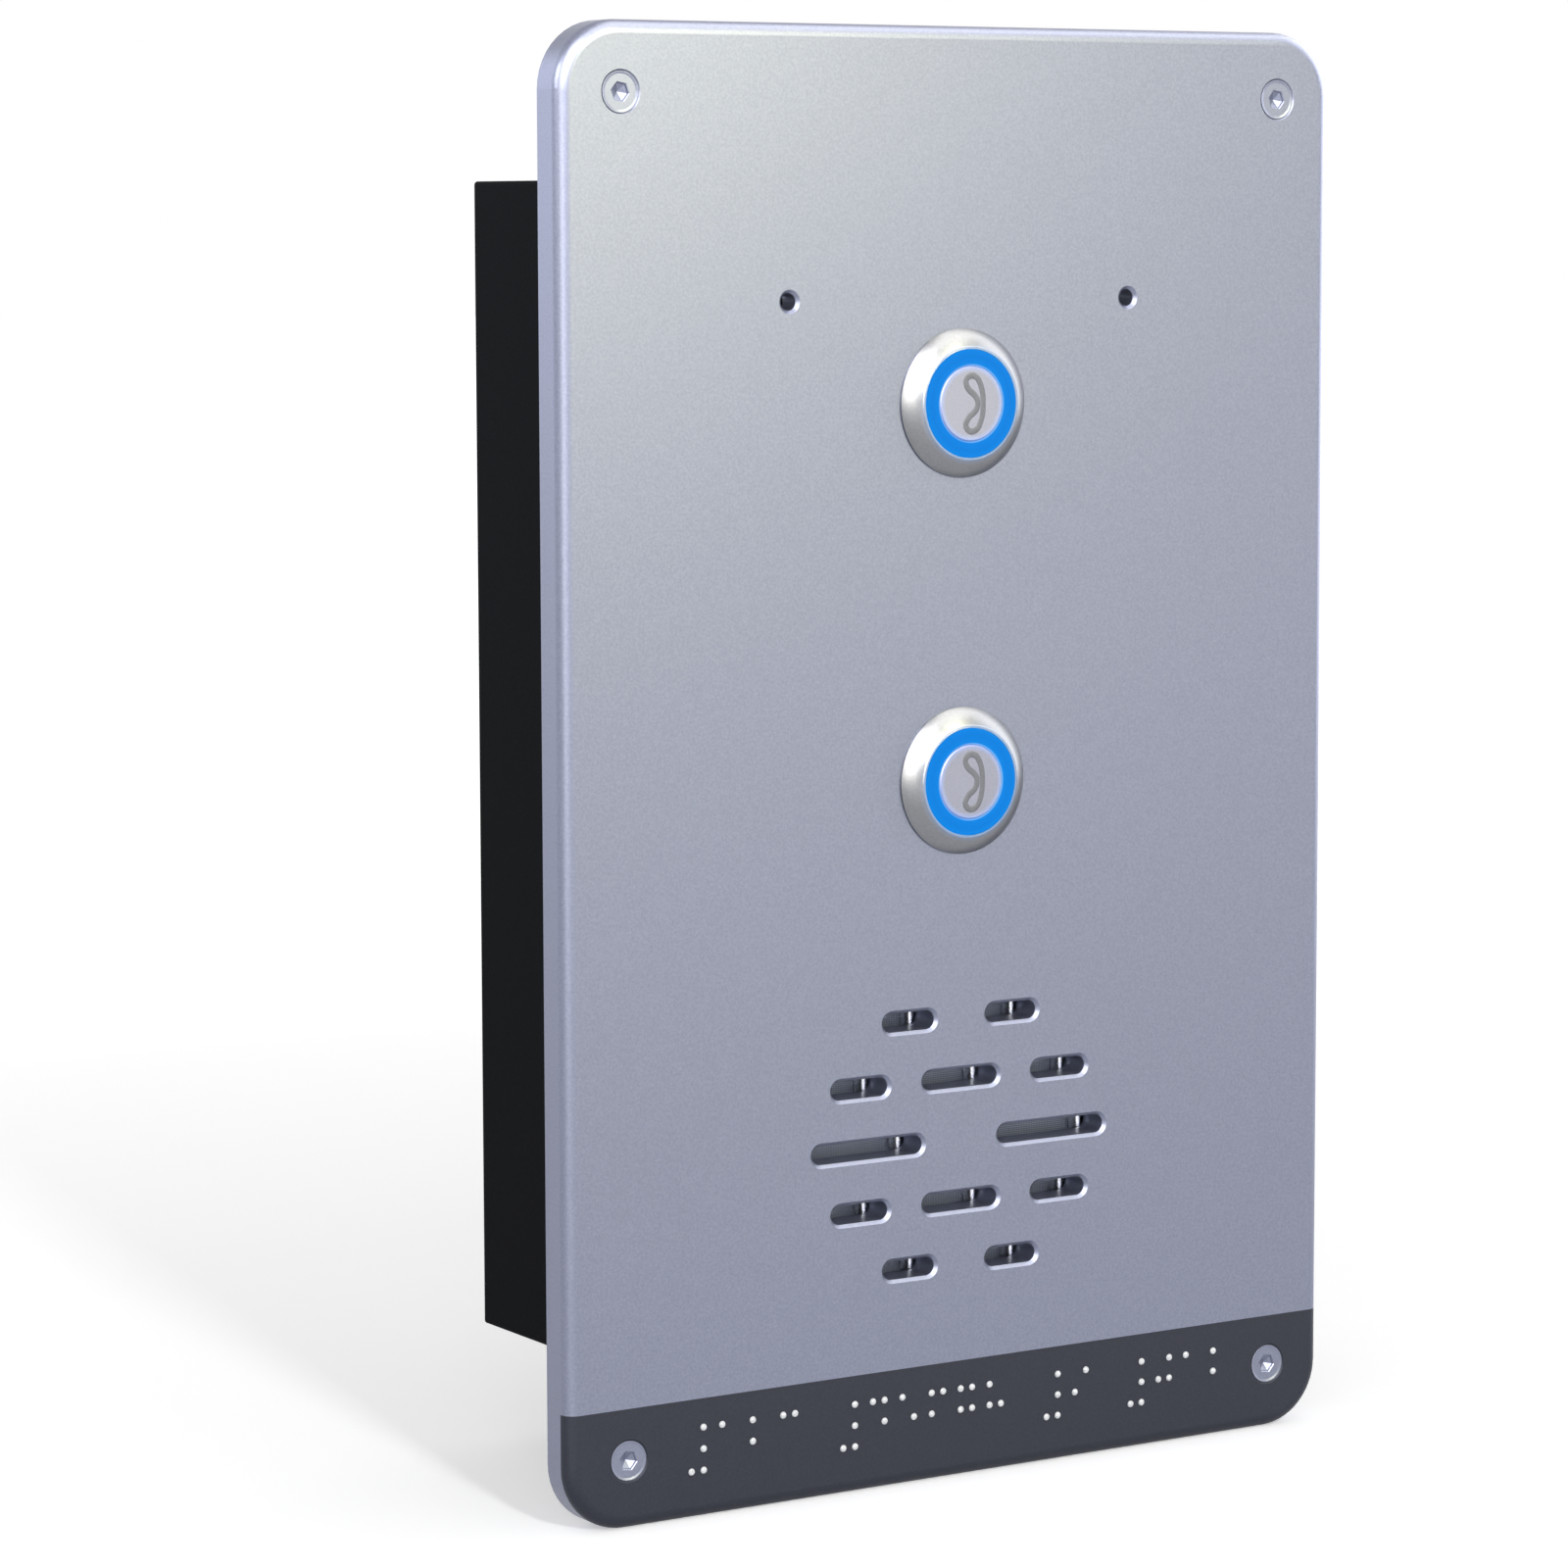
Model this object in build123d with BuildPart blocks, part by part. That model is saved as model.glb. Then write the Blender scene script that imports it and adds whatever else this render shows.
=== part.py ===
from build123d import *
from math import asin, cos, pi, sin, sqrt
import os

# Flush wall intercom: a metal faceplate with two lit call buttons, a loudspeaker behind slots and
# a sheet-metal housing that goes into the wall.
# Frame: X to the right, Y into the wall, Z up. The origin is the centre of the faceplate's rear
# face, which lies on the wall. Lengths are in millimetres.

# Clearances
overrun = 2.0  # how far a cut runs past the face where it leaves
slide_gap = 0.15  # between pieces that slide in each other
seat_gap = 0.05  # between pieces that are held still

# Faceplate
plate_width = 138.4
plate_height = 220.0
plate_thickness = 6.5
plate_corner_radius = 10.0
plate_edge_radius = 2.0
plate_rear_bevel = 0.4
pocket_depth = 1.0  # shallow milled pocket that takes the housing's edge and its gasket

# Tactile strip across the foot of the faceplate
strip_height = 18.1
strip_thickness = 2.2

# Countersunk fixing screws in the corners
screw_inset = 10.3
screw_head_radius = 3.0
screw_head_rim = 0.1
screw_head_sink = 0.1
screw_countersink_angle = 90.0
screw_neck_radius = 1.25
screw_neck_run = 0.6  # the plain neck reaches this far behind the faceplate
screw_thread_radius = 1.5
screw_thread_length = 13.5
screw_hole_radius = 1.7
screw_socket_width = 2.0
screw_socket_depth = 1.3

# Loudspeaker slots: two, three, two, three and two in five rows
slot_width = 2.9
slot_bevel = 0.5
slot_row_pitch = 9.46
short_slot_length = 9.3
short_slot_centre = 9.35
outer_slot_length = 10.1
outer_slot_centre = 18.2
middle_slot_length = 13.7
long_slot_length = 19.8
long_slot_centre = 16.8

# Microphone holes
microphone_side_inset = 19.5  # from the side of the housing
microphone_drop = 17.9  # below the top of the housing
pinhole_radius = 1.3
pinhole_rim_radius = 1.8
pinhole_countersink_angle = 90.0

# Call buttons
upper_button_drop = 15.4  # below the microphones
lower_button_share = 0.297  # share of the way from the loudspeaker up to the upper button
press_travel = 2.0
bezel_radius = 11.1
bezel_height = 2.4
bezel_edge = 0.35
bezel_rim = 0.3
bezel_lip = 1.5
barrel_radius = 9.5
barrel_wall = 1.0
seal_wire_radius = 0.45
ring_radius = 8.0
ring_proud = 0.1
collar_thickness = 2.0
stem_radius = 4.0
stem_length = 11.5
cap_radius = 5.7
cap_thickness = 1.3
cap_proud = 0.15
cap_bevel = 0.25
cap_pin_radius = 1.6
cap_pin_length = 2.0
cap_pin_end_gap = 0.2
led_board_thickness = 0.8
led_board_width = 2.3
led_height = 0.7
led_size = 1.4
led_count = 4
led_clearance = 0.5
spring_wire_radius = 0.35
spring_radius = 5.3
spring_chamber_depth = 5.0
spring_turns = 5
spring_side_gap = 0.15
insert_length = 14.5
stem_end_gap = 1.0
shoulder_radius = 9.3
shoulder_length = 3.5
switch_rear_radius = 8.6
switch_rear_length = 7.0
switch_flat_width = 14.0
terminal_circle_radius = 5.2
terminal_count = 4
terminal_width = 2.8
terminal_thickness = 0.6
terminal_length = 6.0
terminal_eye_radius = 0.7
washer_radius = 12.4
washer_thickness = 0.8
washer_notch_width = 1.6
washer_notch_depth = 0.9
washer_notch_count = 12
nut_width = 22.0
nut_thickness = 3.0
nut_bevel_share = 0.25  # share of the nut's thickness that its corner bevel takes

# Housing and rear cover
housing_side_inset = 19.2
housing_top_inset = 22.6
housing_bottom_inset = 18.8
housing_depth = 53.2
sheet = 1.2
housing_corner_radius = 0.6
pocket_gap = 0.3
flange_width = 9.0
lip_width = 3.5  # flange at the top and the bottom
housing_gasket_thickness = 0.8
flange_relief_gap = 0.3  # round the loudspeaker
housing_screw_end_inset = 17.3
housing_screw_rows = 3
tab_size = 11.0
cover_gap = 0.3
small_screw_radius = 1.5
small_screw_hole_radius = 1.7
small_screw_head_radius = 2.75
small_screw_head_height = 1.8
small_screw_recess_width = 2.0
small_screw_recess_depth = 0.9
tapped_depth = 3.6
tapped_end_gap = 0.4
cover_screw_reach = 5.0

# Loudspeaker
speaker_radius = 31.0
speaker_wall_gap = 1.3  # to the bottom wall of the housing
speaker_gasket_width = 3.0
speaker_gasket_thickness = 2.7
mesh_thickness = 0.4
flange_rim_width = 5.0
frame_sheet = 1.2
basket_depth = 10.0
basket_rear_radius = 15.0
basket_wall = 1.3
spoke_width = 7.0
window_margin = 1.6
cone_thickness = 0.5
cone_rim_width = 1.6
cone_rim_drop = 0.35
surround_width = 3.2
coil_radius = 6.8
coil_wall = 0.4
coil_length = 4.2
cone_depth = 6.4
dust_cap_rise = 2.2
pole_gap = 0.6
magnet_radius = 16.0
magnet_inner_radius = 9.5
magnet_thickness = 5.0
yoke_thickness = 2.5
flange_corner_radius = 7.0
spacer_radius = 3.0
spacer_gasket_gap = 1.355

# Microphones in rubber boots
boot_radius = 6.0
boot_seat_depth = 1.5
boot_nose = 1.2
boot_length = 8.0
capsule_radius = 4.85
capsule_length = 5.0
capsule_pin_radius = 0.35
capsule_pin_length = 3.0
capsule_pin_spacing = 2.54

# Main board on standoffs behind the loudspeaker
board_side_gap = 3.8
board_bottom_gap = 12.0
board_button_gap = 5.6
board_speaker_gap = 8.3
board_thickness = 1.6
board_corner_radius = 2.0
board_hole_inset = 5.0
standoff_width = 5.5
hexagon_corner_share = 0.57735  # half the width over its corners to the width over its flats
standoff_pin_radius = 2.1
standoff_bore_depth = 7.0
board_screw_end_gap = 0.5

# Network jack, mouth to the rear
jack_width = 16.0
jack_height = 13.6
jack_standoff_gap = 6.8
jack_z_share = -0.29  # places on the board are shares of its width and height from its middle
jack_proud = 0.4
jack_mouth_width = 11.8
jack_mouth_height = 7.0
jack_mouth_depth = 12.6
latch_way_width = 6.2
latch_way_height = 1.6
latch_tip_width = 3.4
latch_tip_height = 1.4
cutout_gap = 0.3
contact_count = 8
contact_pitch = 1.02
contact_width = 0.46
contact_thickness = 0.4
contact_rise = 2.2
contact_inset = 2.6
contact_run = 6.5

# Push-in terminal block, mouths to the rear
block_ways = 4
block_pitch = 5.08
block_end = 1.4
block_height = 14.0
block_standoff_gap = 3.2
block_z_share = -0.29
block_proud = 0.4
block_bevel = 0.8
wire_hole_size = 3.2
wire_hole_depth = 9.0
wire_hole_drop = 3.2
lever_width = 2.6
lever_height = 3.4
lever_rise = 3.2
lever_depth = 4.0
lever_proud = 0.8

# Parts on the rear of the main board
chip_size = 14.0
chip_thickness = 1.4
chip_bevel = 0.4
chip_x_share = 0.09
chip_z_share = 0.21
core_width = 14.0
core_height = 13.0
core_depth = 11.0
core_x_share = -0.29
core_z_share = 0.18
bobbin_width = 9.0
core_leg = 2.5
bobbin_overhang = 2.0
bobbin_round = 1.0
capacitor_radius = 4.0
capacitor_height = 11.0
capacitor_round = 0.6
capacitor_pitch = 10.0
capacitor_count = 3
capacitor_standoff_gap = 0.4
capacitor_z_share = 0.2

# Places worked out from the sizes above
front_y = -plate_thickness
pocket_y = -pocket_depth
strip_top_z = strip_height - plate_height / 2
screw_spacing_x = plate_width - 2 * screw_inset
screw_spacing_z = plate_height - 2 * screw_inset
countersink_radius = screw_head_radius + screw_head_rim + screw_head_sink + seat_gap

housing_width = plate_width - 2 * housing_side_inset
housing_height = plate_height - housing_top_inset - housing_bottom_inset
housing_z = (housing_bottom_inset - housing_top_inset) / 2
housing_top_z = housing_z + housing_height / 2
housing_floor_z = housing_z - housing_height / 2 + sheet
housing_inner_width = housing_width - 2 * sheet
housing_inner_height = housing_height - 2 * sheet
housing_y = pocket_y + housing_gasket_thickness
flange_rear_y = housing_y + sheet
housing_screw_spacing = housing_width - flange_width
housing_screw_pitch = (housing_height - 2 * housing_screw_end_inset) / (housing_screw_rows - 1)
tapped_y = pocket_y - tapped_depth
cover_y = housing_depth - sheet
cover_screw_spacing_x = housing_inner_width - tab_size
cover_screw_spacing_z = housing_inner_height - tab_size

microphone_x = housing_width / 2 - microphone_side_inset
microphone_z = housing_top_z - microphone_drop
microphone_places = {"left": -microphone_x, "right": microphone_x}
speaker_z = housing_floor_z + speaker_wall_gap + speaker_radius
speaker_top_z = speaker_z + speaker_radius
upper_button_z = microphone_z - upper_button_drop
lower_button_z = speaker_top_z + lower_button_share * (upper_button_z - speaker_top_z)
button_heights = {"upper": upper_button_z, "lower": lower_button_z}

bezel_front_y = front_y - bezel_height
lip_rear_y = bezel_front_y + bezel_lip
aperture_radius = ring_radius + slide_gap
bore_radius = barrel_radius - barrel_wall
hole_radius = barrel_radius + slide_gap
seal_radius = hole_radius + seal_wire_radius
collar_radius = bore_radius - slide_gap
collar_front_y = lip_rear_y + seat_gap
collar_rear_y = collar_front_y + collar_thickness
led_front_y = collar_rear_y + press_travel + led_clearance
led_board_y = led_front_y + led_height
insert_y = led_board_y + led_board_thickness
insert_radius = bore_radius - seat_gap
barrel_end_y = insert_y + insert_length
spring_chamber_radius = spring_radius + spring_wire_radius + spring_side_gap
spring_floor_y = insert_y + spring_chamber_depth
spring_start_y = spring_floor_y - spring_wire_radius - seat_gap
spring_end_y = collar_rear_y + spring_wire_radius + seat_gap
stem_end_y = collar_rear_y + stem_length
stem_bore_end_y = stem_end_y + press_travel + stem_end_gap
shoulder_end_y = barrel_end_y + shoulder_length
switch_end_y = shoulder_end_y + switch_rear_length
nut_y = pocket_y + washer_thickness
nut_end_y = nut_y + nut_thickness

mesh_y = pocket_y + speaker_gasket_thickness
frame_y = mesh_y + mesh_thickness
frame_rear_y = frame_y + frame_sheet
basket_y = frame_y + basket_depth
magnet_y = basket_y + frame_sheet
yoke_y = magnet_y + magnet_thickness
top_plate_hole_radius = coil_radius + pole_gap
pole_radius = coil_radius - coil_wall - pole_gap
frame_opening_radius = speaker_radius - flange_rim_width
flange_hole_spacing = sqrt(2) * (speaker_radius + spacer_radius + spacer_gasket_gap)

board_y = yoke_y + yoke_thickness + board_speaker_gap
board_rear_y = board_y + board_thickness
board_width = housing_inner_width - 2 * board_side_gap
board_bottom_z = housing_floor_z + board_bottom_gap
board_height = lower_button_z - shoulder_radius - board_button_gap - board_bottom_z
board_z = board_bottom_z + board_height / 2
board_hole_spacing_x = board_width - 2 * board_hole_inset
board_hole_spacing_z = board_height - 2 * board_hole_inset
standoff_side_x = board_hole_spacing_x / 2 - standoff_width * hexagon_corner_share
jack_x = jack_standoff_gap + jack_width / 2 - standoff_side_x
jack_z = board_z + jack_z_share * board_height
jack_end_y = housing_depth + jack_proud
jack_floor_z = jack_z - (jack_mouth_height + latch_way_height + latch_tip_height) / 2
block_z = board_z + block_z_share * board_height
block_end_y = housing_depth + block_proud
block_width = block_ways * block_pitch + 2 * block_end
block_x = standoff_side_x - block_standoff_gap - block_width / 2
bobbin_depth = core_depth - 2 * core_leg
chip_x = chip_x_share * board_width
chip_z = board_z + chip_z_share * board_height
core_x = core_x_share * board_width
core_z = board_z + core_z_share * board_height
capacitor_x = standoff_side_x - capacitor_standoff_gap - capacitor_radius
capacitor_z = board_z + capacitor_z_share * board_height

os.makedirs("parts", exist_ok=True)


def facing_front(depth):
    """Plane at a depth behind the wall face that looks out of the wall, X right and Z up."""
    return Plane.XZ.offset(-depth)


def turning_axis(x, z):
    """Axis into the wall through a point of the front view."""
    return Axis((x, 0, z), (0, 1, 0))


def turned_face(x, z, *points):
    """Face with corners at (radius, depth) points, ready to turn about the axis at x, z."""
    with BuildSketch(Plane((x, 0, z))) as face:
        with BuildLine():
            Polyline(*points, close=True)
        make_face()
    return face.sketch


def small_screw_face(x, z, head_y, head_end_y, tip_y):
    """Half section of a pan head and its shank, for a screw along the axis at x, z."""
    return turned_face(
        x,
        z,
        (0, head_end_y),
        (small_screw_head_radius, head_end_y),
        (small_screw_head_radius, head_y),
        (small_screw_radius, head_y),
        (small_screw_radius, tip_y),
        (0, tip_y),
    )


def flange_face(depth):
    """Front flange of the housing: a frame with screw holes, relieved round the loudspeaker."""
    with BuildSketch(facing_front(depth) * Pos(0, housing_z)) as face:
        RectangleRounded(housing_width, housing_height, housing_corner_radius)
        Rectangle(
            housing_width - 2 * flange_width, housing_height - 2 * lip_width, mode=Mode.SUBTRACT
        )
        with GridLocations(housing_screw_spacing, housing_screw_pitch, 2, housing_screw_rows):
            Circle(small_screw_hole_radius, mode=Mode.SUBTRACT)
        with Locations((0, speaker_z - housing_z)):
            Circle(speaker_radius + flange_relief_gap, mode=Mode.SUBTRACT)
    return face.sketch


def dome_middle(radius, rim_y, rise):
    """Point half-way along the arc from a dome's rim to its top, on a sphere about the axis."""
    sphere_radius = (radius**2 + rise**2) / (2 * rise)
    half_angle = asin(radius / sphere_radius) / 2
    return sphere_radius * sin(half_angle), rim_y - rise + sphere_radius * (1 - cos(half_angle))


def spring_points(z):
    """Points half a turn apart on a spring about the button axis at z, each with the wire's way."""
    step = (spring_end_y - spring_start_y) / (2 * spring_turns)
    points = []
    for number in range(2 * spring_turns + 1):
        side = 1 - 2 * (number % 2)
        place = Vector(side * spring_radius, spring_start_y + number * step, z)
        points.append((place, Vector(0, step, side * pi * spring_radius).normalized()))
    return points


def spring_half_turn(start, start_way, end, end_way):
    """Two arcs that meet smoothly and carry the spring's wire half a turn round."""
    chord = end - start
    turn = 1 - start_way.dot(end_way)
    along = chord.dot(start_way + end_way)
    reach = (sqrt(along**2 + 2 * turn * chord.dot(chord)) - along) / (2 * turn)
    before = start + start_way * reach
    after = end - end_way * reach
    TangentArc(start, (before + after) / 2, tangent=start_way)
    TangentArc((before + after) / 2, end, tangent=after - before)


# Blank that the faceplate and its strip are both cut from
with BuildPart() as plate_blank:
    with BuildSketch(facing_front(0)):
        RectangleRounded(plate_width, plate_height, plate_corner_radius)
    extrude(amount=plate_thickness)
    fillet(plate_blank.faces().sort_by(Axis.Y)[0].edges(), plate_edge_radius)
    chamfer(plate_blank.faces().sort_by(Axis.Y)[-1].edges(), plate_rear_bevel)

# Faceplate
with BuildPart() as faceplate:
    add(plate_blank.part)
    # Speaker slots with bevelled edges
    with BuildSketch(facing_front(front_y)):
        for side in (-1, 1):
            for row in (-2, 2):
                with Locations((side * short_slot_centre, speaker_z + row * slot_row_pitch)):
                    SlotOverall(short_slot_length, slot_width)
            for row in (-1, 1):
                with Locations((side * outer_slot_centre, speaker_z + row * slot_row_pitch)):
                    SlotOverall(outer_slot_length, slot_width)
            with Locations((side * long_slot_centre, speaker_z)):
                SlotOverall(long_slot_length, slot_width)
        for row in (-1, 1):
            with Locations((0, speaker_z + row * slot_row_pitch)):
                SlotOverall(middle_slot_length, slot_width)
    extrude(amount=-plate_thickness, mode=Mode.SUBTRACT)
    slot_rims = [wire.edges() for wire in faceplate.faces().sort_by(Axis.Y)[0].inner_wires()]
    chamfer([edge for rim in slot_rims for edge in rim], slot_bevel)
    # Rebate for the strip
    with BuildSketch(facing_front(front_y + strip_thickness)):
        with Locations((0, strip_top_z)):
            Rectangle(plate_width + overrun, plate_height, align=(Align.CENTER, Align.MAX))
    extrude(amount=strip_thickness + overrun, mode=Mode.SUBTRACT)
    # Rear pocket
    with BuildSketch(facing_front(pocket_y) * Pos(0, housing_z)):
        Rectangle(housing_width + 2 * pocket_gap, housing_height + 2 * pocket_gap)
    extrude(amount=-pocket_depth - overrun, mode=Mode.SUBTRACT)
    # Button holes, each with a seat for its seal
    with Locations(*[facing_front(front_y) * Pos(0, z) for z in button_heights.values()]):
        CounterBoreHole(hole_radius, seal_radius + seal_wire_radius + seat_gap, 2 * seal_wire_radius)
    # Microphone holes and the seats of the boots behind them
    with Locations(*[facing_front(front_y) * Pos(x, microphone_z) for x in microphone_places.values()]):
        CounterSinkHole(
            pinhole_radius, pinhole_rim_radius, counter_sink_angle=pinhole_countersink_angle
        )
    with BuildSketch(facing_front(pocket_y - boot_seat_depth)):
        with Locations(*[(x, microphone_z) for x in microphone_places.values()]):
            Circle(boot_radius + seat_gap)
    extrude(amount=-boot_seat_depth, mode=Mode.SUBTRACT)
    # Fixing holes
    with Locations(facing_front(front_y)):
        with GridLocations(screw_spacing_x, screw_spacing_z, 2, 2):
            CounterSinkHole(
                screw_hole_radius, countersink_radius, counter_sink_angle=screw_countersink_angle
            )
    # Blind tapped holes for the housing and the loudspeaker
    with BuildSketch(facing_front(tapped_y)):
        with Locations((0, housing_z)):
            with GridLocations(housing_screw_spacing, housing_screw_pitch, 2, housing_screw_rows):
                Circle(small_screw_radius + seat_gap)
        with Locations((0, speaker_z)):
            with GridLocations(flange_hole_spacing, flange_hole_spacing, 2, 2):
                Circle(small_screw_radius + seat_gap)
    extrude(amount=-tapped_depth, mode=Mode.SUBTRACT)
faceplate.part.label = "faceplate"
export_step(faceplate.part, "parts/faceplate.step")

# Tactile strip, flush in the rebate of the faceplate
with BuildPart() as tactile_strip:
    add(plate_blank.part)
    with BuildSketch(facing_front(front_y + strip_thickness)):
        with Locations((0, strip_top_z)):
            Rectangle(plate_width + overrun, plate_height, align=(Align.CENTER, Align.MAX))
    extrude(amount=strip_thickness + overrun, mode=Mode.INTERSECT)
    with Locations(facing_front(front_y)):
        with GridLocations(screw_spacing_x, screw_spacing_z, 2, 2):
            CounterSinkHole(
                screw_hole_radius, countersink_radius, counter_sink_angle=screw_countersink_angle
            )
tactile_strip.part.label = "tactile_strip"
export_step(tactile_strip.part, "parts/tactile_strip.step")

# Fixing screws: sunk head with a hexagon socket, plain neck in the plate, thread behind it
with BuildPart() as fixing_screws:
    head_y = front_y + screw_head_sink
    cone_y = head_y + screw_head_rim
    neck_y = cone_y + screw_head_radius - screw_neck_radius
    for x in (-screw_spacing_x / 2, screw_spacing_x / 2):
        for z in (-screw_spacing_z / 2, screw_spacing_z / 2):
            section = turned_face(
                x,
                z,
                (0, head_y),
                (screw_head_radius, head_y),
                (screw_head_radius, cone_y),
                (screw_neck_radius, neck_y),
                (screw_neck_radius, screw_neck_run),
                (screw_thread_radius, screw_neck_run),
                (screw_thread_radius, screw_neck_run + screw_thread_length),
                (0, screw_neck_run + screw_thread_length),
            )
            revolve(section, axis=turning_axis(x, z))
    with BuildSketch(facing_front(head_y)):
        with GridLocations(screw_spacing_x, screw_spacing_z, 2, 2):
            RegularPolygon(screw_socket_width / 2, 6, major_radius=False)
    extrude(amount=-screw_socket_depth, mode=Mode.SUBTRACT)
fixing_screws.part.label = "fixing_screws"
export_step(fixing_screws.part, "parts/fixing_screws.step")

# The two call buttons are alike, one above the other
for side, z in button_heights.items():
    axis = turning_axis(0, z)

    # Bezel: conical front flange and the barrel that passes through the faceplate
    with BuildPart() as bezel:
        section = turned_face(
            0,
            z,
            (aperture_radius, bezel_front_y),
            (aperture_radius + bezel_rim, bezel_front_y),
            (bezel_radius, front_y - bezel_edge),
            (bezel_radius, front_y),
            (barrel_radius, front_y),
            (barrel_radius, barrel_end_y),
            (bore_radius, barrel_end_y),
            (bore_radius, lip_rear_y),
            (aperture_radius, lip_rear_y),
        )
        revolve(section, axis=axis)
    bezel.part.label = f"{side}_bezel"
    export_step(bezel.part, f"parts/{side}_bezel.step")

    # Rubber ring between the bezel's flange and the faceplate
    with BuildPart() as bezel_seal:
        with BuildSketch(Plane((0, 0, z))):
            with Locations((seal_radius, front_y + seal_wire_radius)):
                Circle(seal_wire_radius)
        revolve(axis=axis)
    bezel_seal.part.label = f"{side}_bezel_seal"
    export_step(bezel_seal.part, f"parts/{side}_bezel_seal.step")

    # Toothed lock washer against the rear of the faceplate
    with BuildPart() as lock_washer:
        with BuildSketch(facing_front(nut_y) * Pos(0, z)):
            Circle(washer_radius)
            Circle(hole_radius, mode=Mode.SUBTRACT)
            with PolarLocations(washer_radius, washer_notch_count):
                Rectangle(2 * washer_notch_depth, washer_notch_width, mode=Mode.SUBTRACT)
        extrude(amount=washer_thickness)
    lock_washer.part.label = f"{side}_lock_washer"
    export_step(lock_washer.part, f"parts/{side}_lock_washer.step")

    # Hexagon nut with bevelled corners
    with BuildPart() as barrel_nut:
        with BuildSketch(facing_front(nut_end_y) * Pos(0, z)):
            RegularPolygon(nut_width / 2, 6, major_radius=False)
            Circle(barrel_radius + seat_gap, mode=Mode.SUBTRACT)
        extrude(amount=nut_thickness)
        bevel = nut_bevel_share * nut_thickness
        section = turned_face(
            0,
            z,
            (0, nut_y),
            (nut_width / 2, nut_y),
            (nut_width / 2 + 2 * bevel, nut_y + bevel),
            (nut_width / 2 + 2 * bevel, nut_end_y - bevel),
            (nut_width / 2, nut_end_y),
            (0, nut_end_y),
        )
        revolve(section, axis=axis, mode=Mode.INTERSECT)
    barrel_nut.part.label = f"{side}_barrel_nut"
    export_step(barrel_nut.part, f"parts/{side}_barrel_nut.step")

    # Light ring: clear plunger that shows as the lit ring and carries the cap
    with BuildPart() as light_ring:
        ring_front_y = bezel_front_y - ring_proud
        cap_seat_y = bezel_front_y - cap_proud + cap_thickness
        pin_end_y = cap_seat_y + cap_pin_length + cap_pin_end_gap
        section = turned_face(
            0,
            z,
            (cap_radius + seat_gap, ring_front_y),
            (ring_radius, ring_front_y),
            (ring_radius, collar_front_y),
            (collar_radius, collar_front_y),
            (collar_radius, collar_rear_y),
            (stem_radius, collar_rear_y),
            (stem_radius, stem_end_y),
            (0, stem_end_y),
            (0, pin_end_y),
            (cap_pin_radius + seat_gap, pin_end_y),
            (cap_pin_radius + seat_gap, cap_seat_y),
            (cap_radius + seat_gap, cap_seat_y),
        )
        revolve(section, axis=axis)
    light_ring.part.label = f"{side}_light_ring"
    export_step(light_ring.part, f"parts/{side}_light_ring.step")

    # Cap pressed into the light ring
    with BuildPart() as button_cap:
        cap_front_y = bezel_front_y - cap_proud
        section = turned_face(
            0,
            z,
            (0, cap_front_y),
            (cap_radius - cap_bevel, cap_front_y),
            (cap_radius, cap_front_y + cap_bevel),
            (cap_radius, cap_seat_y),
            (cap_pin_radius, cap_seat_y),
            (cap_pin_radius, cap_seat_y + cap_pin_length),
            (0, cap_seat_y + cap_pin_length),
        )
        revolve(section, axis=axis)
    button_cap.part.label = f"{side}_button_cap"
    export_step(button_cap.part, f"parts/{side}_button_cap.step")

    # Ring-shaped board whose lamps shine into the light ring
    with BuildPart() as led_board:
        board_radius = bore_radius - seat_gap
        with BuildSketch(facing_front(insert_y) * Pos(0, z)):
            Circle(board_radius)
            Circle(board_radius - led_board_width, mode=Mode.SUBTRACT)
        extrude(amount=led_board_thickness)
        with BuildSketch(facing_front(led_board_y) * Pos(0, z)):
            with PolarLocations(board_radius - led_board_width / 2, led_count):
                Rectangle(led_size, led_size)
        extrude(amount=led_height)
    led_board.part.label = f"{side}_led_board"
    export_step(led_board.part, f"parts/{side}_led_board.step")

    # Return spring: one wire, wound in pairs of arcs that each make half a turn
    with BuildPart() as return_spring:
        with BuildLine() as winding:
            for start, end in zip(spring_points(z), spring_points(z)[1:]):
                spring_half_turn(*start, *end)
        with BuildSketch(Plane(winding.line @ 0, z_dir=winding.line % 0)):
            Circle(spring_wire_radius)
        sweep(path=winding.line)
    return_spring.part.label = f"{side}_return_spring"
    export_step(return_spring.part, f"parts/{side}_return_spring.step")

    # Switch body: moulded insert in the barrel, shoulder behind it and a flatted rear end
    with BuildPart() as switch_body:
        section = turned_face(
            0,
            z,
            (spring_chamber_radius, insert_y),
            (insert_radius, insert_y),
            (insert_radius, barrel_end_y),
            (shoulder_radius, barrel_end_y),
            (shoulder_radius, shoulder_end_y),
            (0, shoulder_end_y),
            (0, stem_bore_end_y),
            (stem_radius + slide_gap, stem_bore_end_y),
            (stem_radius + slide_gap, spring_floor_y),
            (spring_chamber_radius, spring_floor_y),
        )
        revolve(section, axis=axis)
        with BuildSketch(facing_front(switch_end_y) * Pos(0, z)):
            Circle(switch_rear_radius)
            Rectangle(switch_flat_width, 2 * switch_rear_radius, mode=Mode.INTERSECT)
        extrude(amount=switch_rear_length)
    switch_body.part.label = f"{side}_switch_body"
    export_step(switch_body.part, f"parts/{side}_switch_body.step")

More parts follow.
